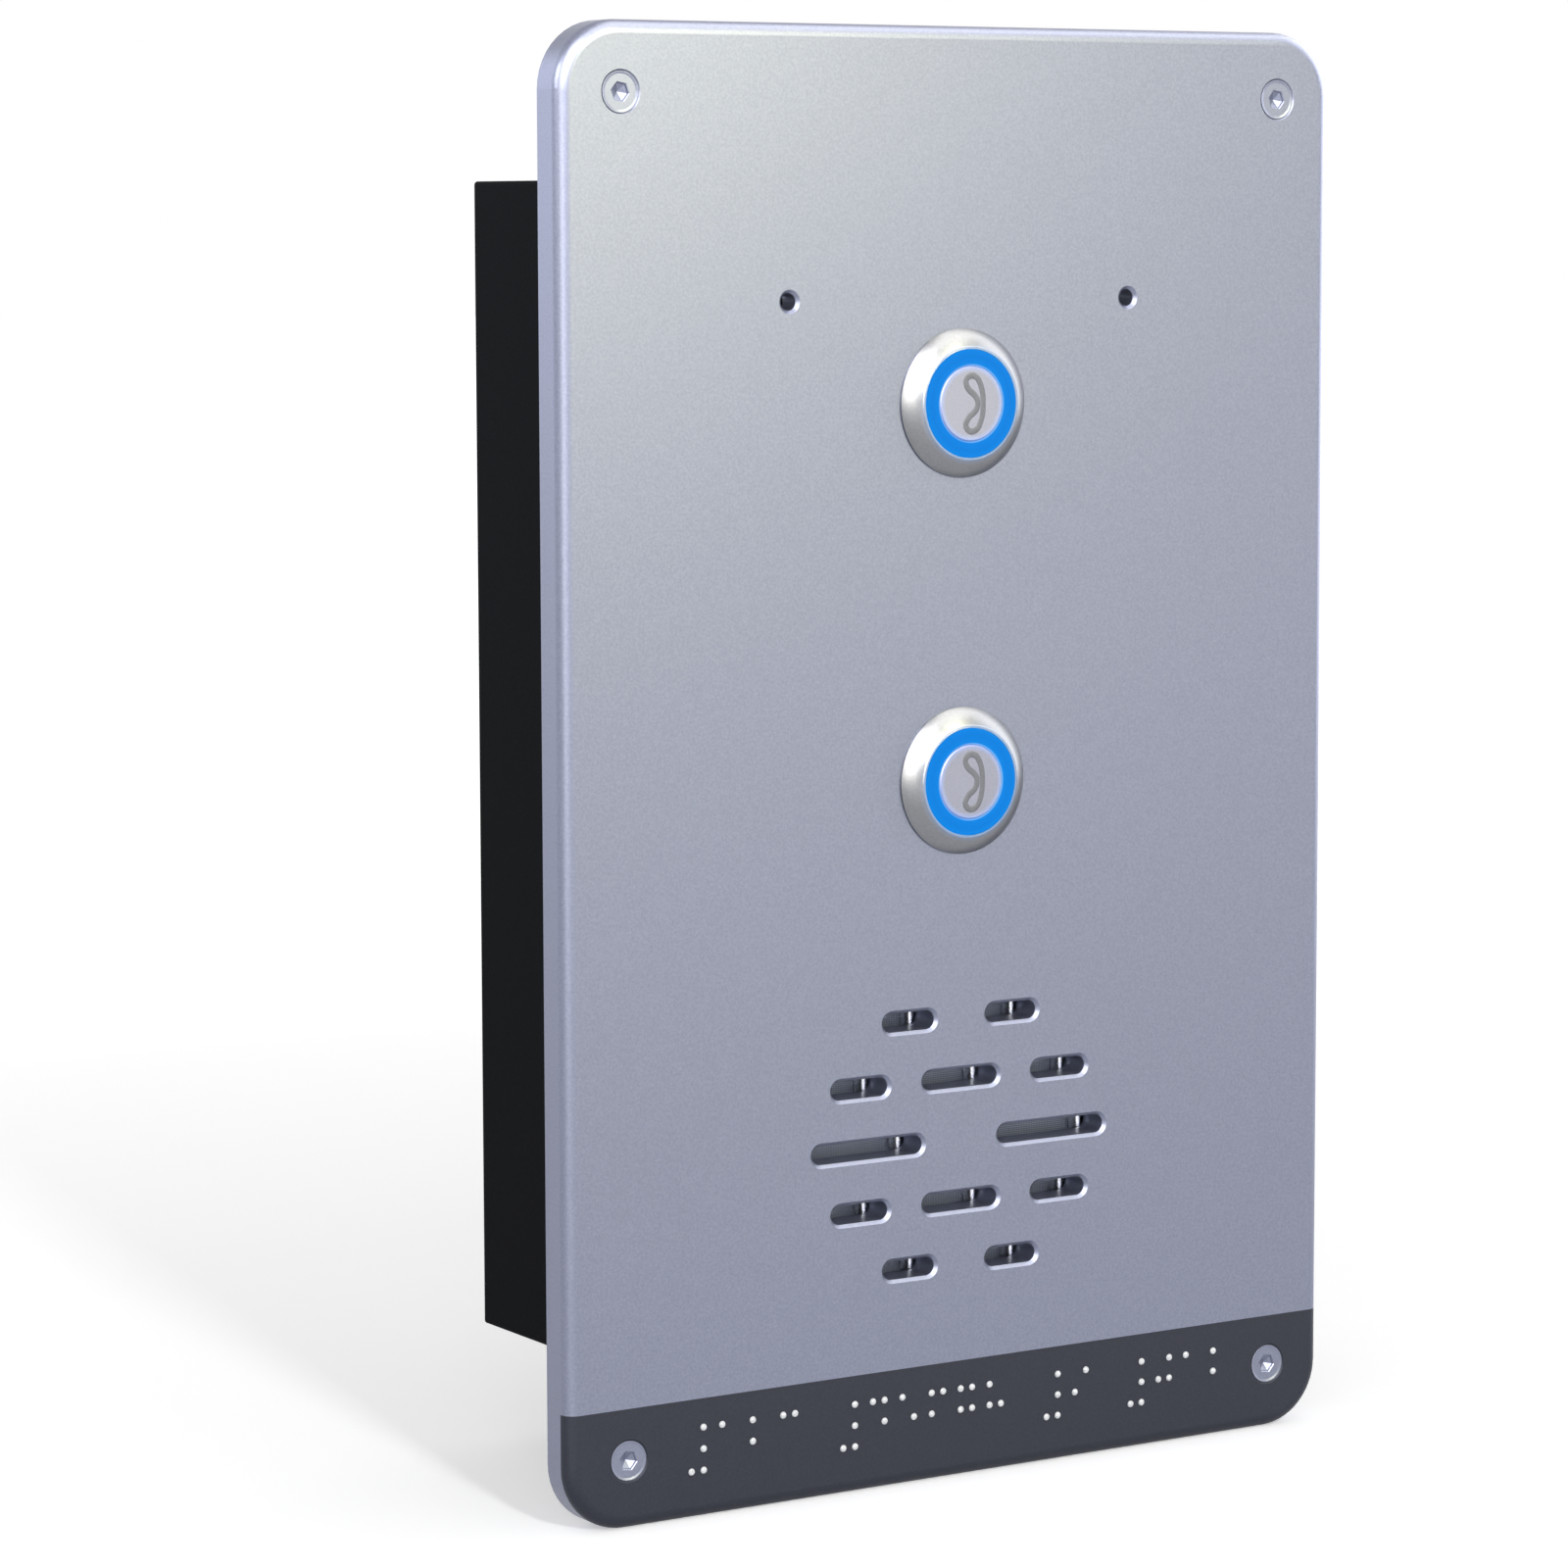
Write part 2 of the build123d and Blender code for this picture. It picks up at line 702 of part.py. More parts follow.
    # Solder blades on the rear of the switch, each with an eye
    with BuildPart() as switch_terminals:
        with BuildSketch(facing_front(switch_end_y + terminal_length) * Pos(0, z)):
            with PolarLocations(terminal_circle_radius, terminal_count, rotate=False):
                Rectangle(terminal_thickness, terminal_width)
        extrude(amount=terminal_length)
        with BuildSketch(Plane.YZ.offset(-barrel_radius)):
            with Locations((switch_end_y + terminal_length - terminal_width / 2, z)):
                with GridLocations(terminal_width, terminal_circle_radius, 1, 3):
                    Circle(terminal_eye_radius)
        extrude(amount=2 * barrel_radius, mode=Mode.SUBTRACT)
    switch_terminals.part.label = f"{side}_switch_terminals"
    export_step(switch_terminals.part, f"parts/{side}_switch_terminals.step")

# Housing: four sheet walls welded at the corners, a flange at the front and corner tabs at the rear
with BuildPart() as housing:
    with BuildSketch(facing_front(housing_depth) * Pos(0, housing_z)):
        RectangleRounded(housing_width, housing_height, housing_corner_radius)
        Rectangle(housing_inner_width, housing_inner_height, mode=Mode.SUBTRACT)
    extrude(amount=housing_depth - housing_y)
    extrude(flange_face(flange_rear_y), amount=sheet)
    with BuildSketch(facing_front(cover_y) * Pos(0, housing_z)):
        with GridLocations(cover_screw_spacing_x, cover_screw_spacing_z, 2, 2):
            Rectangle(tab_size, tab_size)
            Circle(small_screw_radius + seat_gap, mode=Mode.SUBTRACT)
    extrude(amount=sheet)
housing.part.label = "housing"
export_step(housing.part, "parts/housing.step")

# Foam gasket in the faceplate's pocket, under the flange of the housing
with BuildPart() as housing_gasket:
    extrude(flange_face(housing_y), amount=housing_gasket_thickness)
housing_gasket.part.label = "housing_gasket"
export_step(housing_gasket.part, "parts/housing_gasket.step")

# Screws from inside the housing through its flanges into the faceplate
with BuildPart() as housing_screws:
    head_end_y = flange_rear_y + small_screw_head_height
    for x in (-housing_screw_spacing / 2, housing_screw_spacing / 2):
        for row in range(housing_screw_rows):
            z = housing_z + (row - (housing_screw_rows - 1) / 2) * housing_screw_pitch
            section = small_screw_face(x, z, flange_rear_y, head_end_y, tapped_y + tapped_end_gap)
            revolve(section, axis=turning_axis(x, z))
    with BuildSketch(facing_front(head_end_y) * Pos(0, housing_z)):
        with GridLocations(housing_screw_spacing, housing_screw_pitch, 2, housing_screw_rows):
            RegularPolygon(small_screw_recess_width / 2, 6, major_radius=False)
    extrude(amount=small_screw_recess_depth, mode=Mode.SUBTRACT)
housing_screws.part.label = "housing_screws"
export_step(housing_screws.part, "parts/housing_screws.step")

# Rear cover, flush in the rear of the housing
with BuildPart() as rear_cover:
    with BuildSketch(facing_front(housing_depth)):
        with Locations((0, housing_z)):
            Rectangle(housing_inner_width - 2 * cover_gap, housing_inner_height - 2 * cover_gap)
            with GridLocations(cover_screw_spacing_x, cover_screw_spacing_z, 2, 2):
                Circle(small_screw_hole_radius, mode=Mode.SUBTRACT)
        with Locations((0, board_z)):
            with GridLocations(board_hole_spacing_x, board_hole_spacing_z, 2, 2):
                Circle(standoff_pin_radius + seat_gap, mode=Mode.SUBTRACT)
        with Locations((jack_x, jack_z)):
            Rectangle(
                jack_width + 2 * cutout_gap, jack_height + 2 * cutout_gap, mode=Mode.SUBTRACT
            )
        with Locations((block_x, block_z)):
            Rectangle(
                block_width + 2 * cutout_gap, block_height + 2 * cutout_gap, mode=Mode.SUBTRACT
            )
    extrude(amount=sheet)
rear_cover.part.label = "rear_cover"
export_step(rear_cover.part, "parts/rear_cover.step")

# Screws that hold the rear cover on the housing's tabs
with BuildPart() as cover_screws:
    head_end_y = housing_depth + small_screw_head_height
    for x in (-cover_screw_spacing_x / 2, cover_screw_spacing_x / 2):
        for z in (housing_z - cover_screw_spacing_z / 2, housing_z + cover_screw_spacing_z / 2):
            section = small_screw_face(
                x, z, housing_depth, head_end_y, housing_depth - cover_screw_reach
            )
            revolve(section, axis=turning_axis(x, z))
    with BuildSketch(facing_front(head_end_y) * Pos(0, housing_z)):
        with GridLocations(cover_screw_spacing_x, cover_screw_spacing_z, 2, 2):
            RegularPolygon(small_screw_recess_width / 2, 6, major_radius=False)
    extrude(amount=small_screw_recess_depth, mode=Mode.SUBTRACT)
cover_screws.part.label = "cover_screws"
export_step(cover_screws.part, "parts/cover_screws.step")

# Foam ring between the faceplate and the speaker's mesh
with BuildPart() as speaker_gasket:
    with BuildSketch(facing_front(mesh_y) * Pos(0, speaker_z)):
        Circle(speaker_radius)
        Circle(speaker_radius - speaker_gasket_width, mode=Mode.SUBTRACT)
    extrude(amount=speaker_gasket_thickness)
speaker_gasket.part.label = "speaker_gasket"
export_step(speaker_gasket.part, "parts/speaker_gasket.step")

# Protective cloth disc behind the slots
with BuildPart() as speaker_mesh:
    with BuildSketch(facing_front(frame_y) * Pos(0, speaker_z)):
        Circle(speaker_radius)
    extrude(amount=mesh_thickness)
speaker_mesh.part.label = "speaker_mesh"
export_step(speaker_mesh.part, "parts/speaker_mesh.step")

# Speaker frame: square flange, sloping basket with four windows and the magnet's plate
with BuildPart() as speaker_frame:
    with BuildSketch(facing_front(frame_rear_y) * Pos(0, speaker_z)):
        RectangleRounded(2 * speaker_radius, 2 * speaker_radius, flange_corner_radius)
        Circle(frame_opening_radius, mode=Mode.SUBTRACT)
        with GridLocations(flange_hole_spacing, flange_hole_spacing, 2, 2):
            Circle(small_screw_hole_radius, mode=Mode.SUBTRACT)
    extrude(amount=frame_sheet)
    section = turned_face(
        0,
        speaker_z,
        (frame_opening_radius, frame_y),
        (frame_opening_radius + basket_wall, frame_y),
        (frame_opening_radius + basket_wall, frame_rear_y),
        (basket_rear_radius, basket_y),
        (basket_rear_radius, magnet_y),
        (top_plate_hole_radius, magnet_y),
        (top_plate_hole_radius, basket_y),
        (basket_rear_radius - basket_wall, basket_y),
        (frame_opening_radius, frame_rear_y),
    )
    revolve(section, axis=turning_axis(0, speaker_z))
    with BuildSketch(facing_front(basket_y) * Pos(0, speaker_z)):
        Circle(frame_opening_radius - window_margin)
        Circle(basket_rear_radius + window_margin, mode=Mode.SUBTRACT)
        Rectangle(spoke_width, 2 * speaker_radius, mode=Mode.SUBTRACT)
        Rectangle(2 * speaker_radius, spoke_width, mode=Mode.SUBTRACT)
    extrude(amount=basket_depth - frame_sheet, mode=Mode.SUBTRACT)
speaker_frame.part.label = "speaker_frame"
export_step(speaker_frame.part, "parts/speaker_frame.step")

# Cone with its rolled surround, dust cap and voice coil
with BuildPart() as speaker_cone:
    rim_radius = frame_opening_radius - seat_gap
    roll_radius = rim_radius - cone_rim_width
    cone_radius = roll_radius - surround_width
    rim_y = frame_y + cone_rim_drop
    neck_y = frame_y + cone_depth
    coil_inner_radius = coil_radius - coil_wall
    with BuildSketch(Plane((0, 0, speaker_z))):
        with BuildLine():
            Line((rim_radius, rim_y), (roll_radius, rim_y))
            ThreePointArc(
                (roll_radius, rim_y),
                (roll_radius - surround_width / 2, rim_y + surround_width / 2),
                (cone_radius, rim_y),
            )
            Line((cone_radius, rim_y), (coil_radius, neck_y - cone_thickness))
            ThreePointArc(
                (coil_radius, neck_y - cone_thickness),
                dome_middle(coil_radius, neck_y - cone_thickness, dust_cap_rise),
                (0, neck_y - cone_thickness - dust_cap_rise),
            )
            Line((0, neck_y - cone_thickness - dust_cap_rise), (0, neck_y - dust_cap_rise))
            ThreePointArc(
                (0, neck_y - dust_cap_rise),
                dome_middle(coil_inner_radius, neck_y, dust_cap_rise),
                (coil_inner_radius, neck_y),
            )
            Polyline(
                (coil_inner_radius, neck_y),
                (coil_inner_radius, neck_y + coil_length),
                (coil_radius, neck_y + coil_length),
                (coil_radius, neck_y),
                (cone_radius, rim_y + cone_thickness),
            )
            ThreePointArc(
                (cone_radius, rim_y + cone_thickness),
                (roll_radius - surround_width / 2, rim_y + cone_thickness + surround_width / 2),
                (roll_radius, rim_y + cone_thickness),
            )
            Polyline(
                (roll_radius, rim_y + cone_thickness),
                (rim_radius, rim_y + cone_thickness),
                (rim_radius, rim_y),
            )
        make_face()
    revolve(axis=turning_axis(0, speaker_z))
speaker_cone.part.label = "speaker_cone"
export_step(speaker_cone.part, "parts/speaker_cone.step")

# Magnet ring
with BuildPart() as speaker_magnet:
    with BuildSketch(facing_front(yoke_y) * Pos(0, speaker_z)):
        Circle(magnet_radius)
        Circle(magnet_inner_radius, mode=Mode.SUBTRACT)
    extrude(amount=magnet_thickness)
speaker_magnet.part.label = "speaker_magnet"
export_step(speaker_magnet.part, "parts/speaker_magnet.step")

# Yoke: back plate and the pole that stands in the coil
with BuildPart() as speaker_yoke:
    section = turned_face(
        0,
        speaker_z,
        (0, basket_y),
        (pole_radius, basket_y),
        (pole_radius, yoke_y),
        (magnet_radius, yoke_y),
        (magnet_radius, yoke_y + yoke_thickness),
        (0, yoke_y + yoke_thickness),
    )
    revolve(section, axis=turning_axis(0, speaker_z))
speaker_yoke.part.label = "speaker_yoke"
export_step(speaker_yoke.part, "parts/speaker_yoke.step")

# Tube spacers between the faceplate and the corners of the speaker's flange
with BuildPart() as speaker_spacers:
    with BuildSketch(facing_front(frame_y) * Pos(0, speaker_z)):
        with GridLocations(flange_hole_spacing, flange_hole_spacing, 2, 2):
            Circle(spacer_radius)
            Circle(small_screw_hole_radius, mode=Mode.SUBTRACT)
    extrude(amount=frame_y - pocket_y)
speaker_spacers.part.label = "speaker_spacers"
export_step(speaker_spacers.part, "parts/speaker_spacers.step")

# Screws through the speaker's flange and the spacers into the faceplate
with BuildPart() as speaker_screws:
    head_end_y = frame_rear_y + small_screw_head_height
    for x in (-flange_hole_spacing / 2, flange_hole_spacing / 2):
        for z in (speaker_z - flange_hole_spacing / 2, speaker_z + flange_hole_spacing / 2):
            section = small_screw_face(x, z, frame_rear_y, head_end_y, tapped_y + tapped_end_gap)
            revolve(section, axis=turning_axis(x, z))
    with BuildSketch(facing_front(head_end_y) * Pos(0, speaker_z)):
        with GridLocations(flange_hole_spacing, flange_hole_spacing, 2, 2):
            RegularPolygon(small_screw_recess_width / 2, 6, major_radius=False)
    extrude(amount=small_screw_recess_depth, mode=Mode.SUBTRACT)
speaker_screws.part.label = "speaker_screws"
export_step(speaker_screws.part, "parts/speaker_screws.step")

# The two microphones are alike, one behind each pinhole
for side, x in microphone_places.items():
    axis = turning_axis(x, microphone_z)
    nose_y = pocket_y - boot_seat_depth
    capsule_y = nose_y + boot_nose

    # Rubber boot that carries sound from the pinhole to the capsule
    with BuildPart() as microphone_boot:
        section = turned_face(
            x,
            microphone_z,
            (pinhole_radius, nose_y),
            (boot_radius, nose_y),
            (boot_radius, nose_y + boot_length),
            (capsule_radius + seat_gap, nose_y + boot_length),
            (capsule_radius + seat_gap, capsule_y),
            (pinhole_radius, capsule_y),
        )
        revolve(section, axis=axis)
    microphone_boot.part.label = f"{side}_microphone_boot"
    export_step(microphone_boot.part, f"parts/{side}_microphone_boot.step")

    # Microphone capsule with its two pins
    with BuildPart() as microphone:
        with BuildSketch(facing_front(capsule_y + capsule_length) * Pos(x, microphone_z)):
            Circle(capsule_radius)
        extrude(amount=capsule_length)
        with BuildSketch(
            facing_front(capsule_y + capsule_length + capsule_pin_length) * Pos(x, microphone_z)
        ):
            with GridLocations(capsule_pin_spacing, capsule_pin_spacing, 2, 1):
                Circle(capsule_pin_radius)
        extrude(amount=capsule_pin_length)
    microphone.part.label = f"{side}_microphone"
    export_step(microphone.part, f"parts/{side}_microphone.step")

# Main board
with BuildPart() as main_board:
    with BuildSketch(facing_front(board_rear_y) * Pos(0, board_z)):
        RectangleRounded(board_width, board_height, board_corner_radius)
        with GridLocations(board_hole_spacing_x, board_hole_spacing_z, 2, 2):
            Circle(small_screw_hole_radius, mode=Mode.SUBTRACT)
    extrude(amount=board_thickness)
main_board.part.label = "main_board"
export_step(main_board.part, "parts/main_board.step")

# Hexagon standoffs pressed into the rear cover, bored for the board's screws
with BuildPart() as board_standoffs:
    with BuildSketch(facing_front(cover_y) * Pos(0, board_z)):
        with GridLocations(board_hole_spacing_x, board_hole_spacing_z, 2, 2):
            RegularPolygon(standoff_width / 2, 6, major_radius=False)
    extrude(amount=cover_y - board_rear_y)
    with BuildSketch(facing_front(housing_depth) * Pos(0, board_z)):
        with GridLocations(board_hole_spacing_x, board_hole_spacing_z, 2, 2):
            Circle(standoff_pin_radius)
    extrude(amount=sheet)
    with BuildSketch(facing_front(board_rear_y) * Pos(0, board_z)):
        with GridLocations(board_hole_spacing_x, board_hole_spacing_z, 2, 2):
            Circle(small_screw_radius + seat_gap)
    extrude(amount=-standoff_bore_depth, mode=Mode.SUBTRACT)
board_standoffs.part.label = "board_standoffs"
export_step(board_standoffs.part, "parts/board_standoffs.step")

# Screws through the board into the standoffs
with BuildPart() as board_screws:
    head_end_y = board_y - small_screw_head_height
    tip_y = board_rear_y + standoff_bore_depth - board_screw_end_gap
    for x in (-board_hole_spacing_x / 2, board_hole_spacing_x / 2):
        for z in (board_z - board_hole_spacing_z / 2, board_z + board_hole_spacing_z / 2):
            section = small_screw_face(x, z, board_y, head_end_y, tip_y)
            revolve(section, axis=turning_axis(x, z))
    with BuildSketch(facing_front(head_end_y) * Pos(0, board_z)):
        with GridLocations(board_hole_spacing_x, board_hole_spacing_z, 2, 2):
            RegularPolygon(small_screw_recess_width / 2, 6, major_radius=False)
    extrude(amount=-small_screw_recess_depth, mode=Mode.SUBTRACT)
board_screws.part.label = "board_screws"
export_step(board_screws.part, "parts/board_screws.step")

# Network jack: moulded block whose mouth has a stepped way for the plug's latch
with BuildPart() as network_jack:
    with BuildSketch(facing_front(jack_end_y) * Pos(jack_x, jack_z)):
        Rectangle(jack_width, jack_height)
    extrude(amount=jack_end_y - board_rear_y)
    with BuildSketch(facing_front(jack_end_y) * Pos(jack_x, jack_floor_z)):
        Rectangle(jack_mouth_width, jack_mouth_height, align=(Align.CENTER, Align.MIN))
        with Locations((0, jack_mouth_height)):
            Rectangle(latch_way_width, latch_way_height, align=(Align.CENTER, Align.MIN))
        with Locations((0, jack_mouth_height + latch_way_height)):
            Rectangle(latch_tip_width, latch_tip_height, align=(Align.CENTER, Align.MIN))
    extrude(amount=jack_mouth_depth, mode=Mode.SUBTRACT)
network_jack.part.label = "network_jack"
export_step(network_jack.part, "parts/network_jack.step")

# Spring contacts that rise from the floor of the jack's mouth
with BuildPart() as jack_contacts:
    mouth_end_y = jack_end_y - jack_mouth_depth
    contact_y = jack_end_y - contact_inset
    contact_top_z = jack_floor_z + contact_rise
    for number in range(contact_count):
        contact_x = jack_x + (number - (contact_count - 1) / 2) * contact_pitch
        with BuildSketch(Plane.YZ.offset(contact_x - contact_width / 2)):
            with BuildLine():
                Polyline(
                    (contact_y, jack_floor_z),
                    (contact_y - contact_run, contact_top_z),
                    (mouth_end_y, contact_top_z),
                    (mouth_end_y, contact_top_z + contact_thickness),
                    (contact_y - contact_run, contact_top_z + contact_thickness),
                    (contact_y, jack_floor_z + contact_thickness),
                    close=True,
                )
            make_face()
        extrude(amount=contact_width)
jack_contacts.part.label = "jack_contacts"
export_step(jack_contacts.part, "parts/jack_contacts.step")

# Push-in terminal block with a wire hole and a lever for each way
with BuildPart() as terminal_block:
    with BuildSketch(facing_front(block_end_y) * Pos(block_x, block_z)):
        Rectangle(block_width, block_height)
    extrude(amount=block_end_y - board_rear_y)
    chamfer(terminal_block.faces().sort_by(Axis.Y)[-1].edges(), block_bevel)
    with BuildSketch(facing_front(block_end_y) * Pos(block_x, block_z - wire_hole_drop)):
        with GridLocations(block_pitch, block_pitch, block_ways, 1):
            Rectangle(wire_hole_size, wire_hole_size)
    extrude(amount=wire_hole_depth, mode=Mode.SUBTRACT)
    with BuildSketch(facing_front(block_end_y) * Pos(block_x, block_z + lever_rise)):
        with GridLocations(block_pitch, block_pitch, block_ways, 1):
            Rectangle(lever_width + 2 * seat_gap, lever_height + 2 * seat_gap)
    extrude(amount=lever_depth, mode=Mode.SUBTRACT)
terminal_block.part.label = "terminal_block"
export_step(terminal_block.part, "parts/terminal_block.step")

# Release levers of the terminal block
with BuildPart() as terminal_levers:
    with BuildSketch(facing_front(block_end_y + lever_proud) * Pos(block_x, block_z + lever_rise)):
        with GridLocations(block_pitch, block_pitch, block_ways, 1):
            Rectangle(lever_width, lever_height)
    extrude(amount=lever_depth + lever_proud)
terminal_levers.part.label = "terminal_levers"
export_step(terminal_levers.part, "parts/terminal_levers.step")

# Processor chip with a bevelled top
with BuildPart() as processor:
    with BuildSketch(facing_front(board_rear_y + chip_thickness) * Pos(chip_x, chip_z)):
        Rectangle(chip_size, chip_size)
    extrude(amount=chip_thickness)
    chamfer(processor.faces().sort_by(Axis.Y)[-1].edges(), chip_bevel)
processor.part.label = "processor"
export_step(processor.part, "parts/processor.step")

# Core of the power transformer, a frame round its winding
with BuildPart() as transformer_core:
    with BuildSketch(Plane.XY.offset(core_z - core_height / 2)):
        with Locations((core_x, board_rear_y + core_depth / 2)):
            Rectangle(core_width, core_depth)
            Rectangle(bobbin_width, bobbin_depth, mode=Mode.SUBTRACT)
    extrude(amount=core_height)
transformer_core.part.label = "transformer_core"
export_step(transformer_core.part, "parts/transformer_core.step")

# Winding of the power transformer, standing out of its core above and below
with BuildPart() as transformer_winding:
    winding_height = core_height + 2 * bobbin_overhang
    with BuildSketch(Plane.XY.offset(core_z - winding_height / 2)):
        with Locations((core_x, board_rear_y + core_depth / 2)):
            Rectangle(bobbin_width - 2 * seat_gap, bobbin_depth - 2 * seat_gap)
    extrude(amount=winding_height)
    fillet(transformer_winding.edges().filter_by(Axis.X), bobbin_round)
transformer_winding.part.label = "transformer_winding"
export_step(transformer_winding.part, "parts/transformer_winding.step")

# Reservoir capacitors with rounded ends
with BuildPart() as capacitors:
    with BuildSketch(
        facing_front(board_rear_y + capacitor_height) * Pos(capacitor_x, capacitor_z)
    ):
        with GridLocations(capacitor_pitch, capacitor_pitch, 1, capacitor_count):
            Circle(capacitor_radius)
    extrude(amount=capacitor_height)
    fillet(capacitors.edges().group_by(Axis.Y)[-1], capacitor_round)
capacitors.part.label = "capacitors"
export_step(capacitors.part, "parts/capacitors.step")
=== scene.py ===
"""Flush wall intercom: a finish for every node of the CAD frame, and the pieces that plain solids can't show.

Those are the raised dots, the handset signs, the rounded bezels, the return springs, the ribs
behind the speaker's slots and the threaded fixing screws.
"""

import bpy
import numpy as np
from mathutils import Matrix, Vector


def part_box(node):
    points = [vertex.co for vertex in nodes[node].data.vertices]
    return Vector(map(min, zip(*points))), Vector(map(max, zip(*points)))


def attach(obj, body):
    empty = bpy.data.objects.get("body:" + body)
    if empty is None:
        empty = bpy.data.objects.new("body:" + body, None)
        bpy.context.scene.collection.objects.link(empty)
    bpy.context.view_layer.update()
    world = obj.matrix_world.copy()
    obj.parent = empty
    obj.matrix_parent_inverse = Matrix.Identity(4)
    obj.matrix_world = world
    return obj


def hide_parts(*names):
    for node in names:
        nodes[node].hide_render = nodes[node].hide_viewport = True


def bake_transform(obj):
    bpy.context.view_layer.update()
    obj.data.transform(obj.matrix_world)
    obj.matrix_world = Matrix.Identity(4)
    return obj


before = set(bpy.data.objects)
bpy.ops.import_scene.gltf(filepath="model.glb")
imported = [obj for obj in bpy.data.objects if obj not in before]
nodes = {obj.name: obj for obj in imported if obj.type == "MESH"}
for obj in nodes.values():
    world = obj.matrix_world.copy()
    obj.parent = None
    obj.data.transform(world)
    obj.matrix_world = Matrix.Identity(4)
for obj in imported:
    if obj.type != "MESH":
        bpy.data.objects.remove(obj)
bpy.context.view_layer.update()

MM = 0.001
SIDES = ("upper", "lower")

# Places on the object, taken from the CAD nodes.
plate_low, plate_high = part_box("faceplate")
strip_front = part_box("tactile_strip")[0].y
bezel_low, bezel_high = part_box("upper_bezel")
cap_low, cap_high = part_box("upper_button_cap")
ring_low, ring_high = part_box("upper_light_ring")
cap_radius = (cap_high.x - cap_low.x) / 2
ring_radius = (ring_high.x - ring_low.x) / 2
button_axis = {side: (0.0, 0.0, sum(corner.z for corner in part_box(f"{side}_bezel")) / 2) for side in SIDES}

# The rounded front of a bezel starts at this radius, at the rim round the light ring.
dome_inner = 8.28 * MM


# Meshes: grids of points, whose columns close into rings.

def put_mesh(name, points, *faces):
    """An object at the origin, from one array of points and arrays of faces, each of one corner count."""
    mesh = bpy.data.meshes.new(name)
    corners = [face for part in faces for face in part.tolist()]
    mesh.from_pydata(points.reshape(-1, 3).tolist(), [], corners)
    mesh.polygons.foreach_set("use_smooth", np.full(len(mesh.polygons), True))
    mesh.update()
    piece = bpy.data.objects.new(name, mesh)
    bpy.context.scene.collection.objects.link(piece)
    return piece


def full_turn(count):
    """Angles that share out a full turn evenly."""
    return np.linspace(0.0, 2 * np.pi, count, endpoint=False)


def turned_points(radius, along, around):
    """Points at a radius from the Y axis and a place along it, at each angle round the axis."""
    return np.stack(np.broadcast_arrays(radius * np.cos(around), along, -radius * np.sin(around)), -1)


def grid_faces(rows, columns, close_rows=False):
    """Quads between neighbouring points of a grid, also from its last row to its first if asked."""
    count = rows if close_rows else rows - 1
    row, column = np.meshgrid(np.arange(count), np.arange(columns), indexing="ij")
    here, onward = row * columns, (row + 1) % rows * columns
    across = (column + 1) % columns
    corners = (here + column, here + across, onward + across, onward + column)
    return np.stack(corners, -1).reshape(-1, 4)


def end_faces(rows, columns):
    """One many-sided face over the first ring of a grid and one over its last."""
    ring = np.arange(columns)
    return np.stack((ring[::-1], (rows - 1) * columns + ring))


def copied_faces(faces, copies, points):
    """The faces of one shape, counted on for each copy of its points."""
    return (np.arange(copies)[:, None, None] * points + faces[None]).reshape(-1, faces.shape[1])


def put_copies(name, middles, shape):
    """One closed grid shape set down at each of the given middles."""
    rows, columns = shape.shape[:2]
    points = middles[:, None, None, :] + shape[None]
    sides, ends = (copied_faces(faces, len(middles), rows * columns)
                   for faces in (grid_faces(rows, columns), end_faces(rows, columns)))
    return put_mesh(name, points, sides, ends)


# Materials: each starts from a principled shader and gets its pattern from Object coordinates.

# At scale one, Blender's wave texture repeats after this length.
WAVE_PERIOD = np.pi / 10


def new_finish(name, colour, metallic, roughness, specular=0.5):
    """A principled material whose even values sit on the shader's own sockets."""
    material = bpy.data.materials.new(name)
    material.use_nodes = True
    inputs = shader_of(material).inputs
    inputs["Base Color"].default_value = (*colour, 1.0)
    inputs["Metallic"].default_value = metallic
    inputs["Roughness"].default_value = roughness
    inputs["Specular IOR Level"].default_value = specular
    return material


def shader_of(material):
    return material.node_tree.nodes["Principled BSDF"]


def add_node(material, kind, **settings):
    """One node in the material's tree: settings that are sockets go to inputs, the rest to the node."""
    node = material.node_tree.nodes.new(kind)
    for key, value in settings.items():
        if key in node.inputs:
            node.inputs[key].default_value = value
        else:
            setattr(node, key, value)
    return node


def join(material, source, target):
    material.node_tree.links.new(source, target)


def place_in_object(material, centre=(0.0, 0.0, 0.0), scale=(1.0, 1.0, 1.0)):
    """Object coordinates with the pattern's middle moved to a place on the object."""
    where = add_node(material, "ShaderNodeTexCoord")
    shift = add_node(material, "ShaderNodeMapping", Location=tuple(-value for value in centre), Scale=scale)
    join(material, where.outputs["Object"], shift.inputs["Vector"])
    return shift.outputs["Vector"]


def add_wave(material, place, step, **settings):
    """Bands or rings that follow one another at a step (metres)."""
    wave = add_node(material, "ShaderNodeTexWave", Scale=WAVE_PERIOD / step, **settings)
    join(material, place, wave.inputs["Vector"])
    return wave.outputs["Fac"]


def add_colour(material, factor, stops, socket="Base Color"):
    """A ramp of (place, colour) stops on one of the shader's colours."""
    ramp = add_node(material, "ShaderNodeValToRGB")
    elements = ramp.color_ramp.elements
    elements.remove(elements[1])
    (place, colour), *others = stops
    elements[0].position = place
    elements[0].color = (*colour, 1.0)
    for place, colour in others:
        elements.new(place).color = (*colour, 1.0)
    join(material, factor, ramp.inputs["Fac"])
    join(material, ramp.outputs["Color"], shader_of(material).inputs[socket])


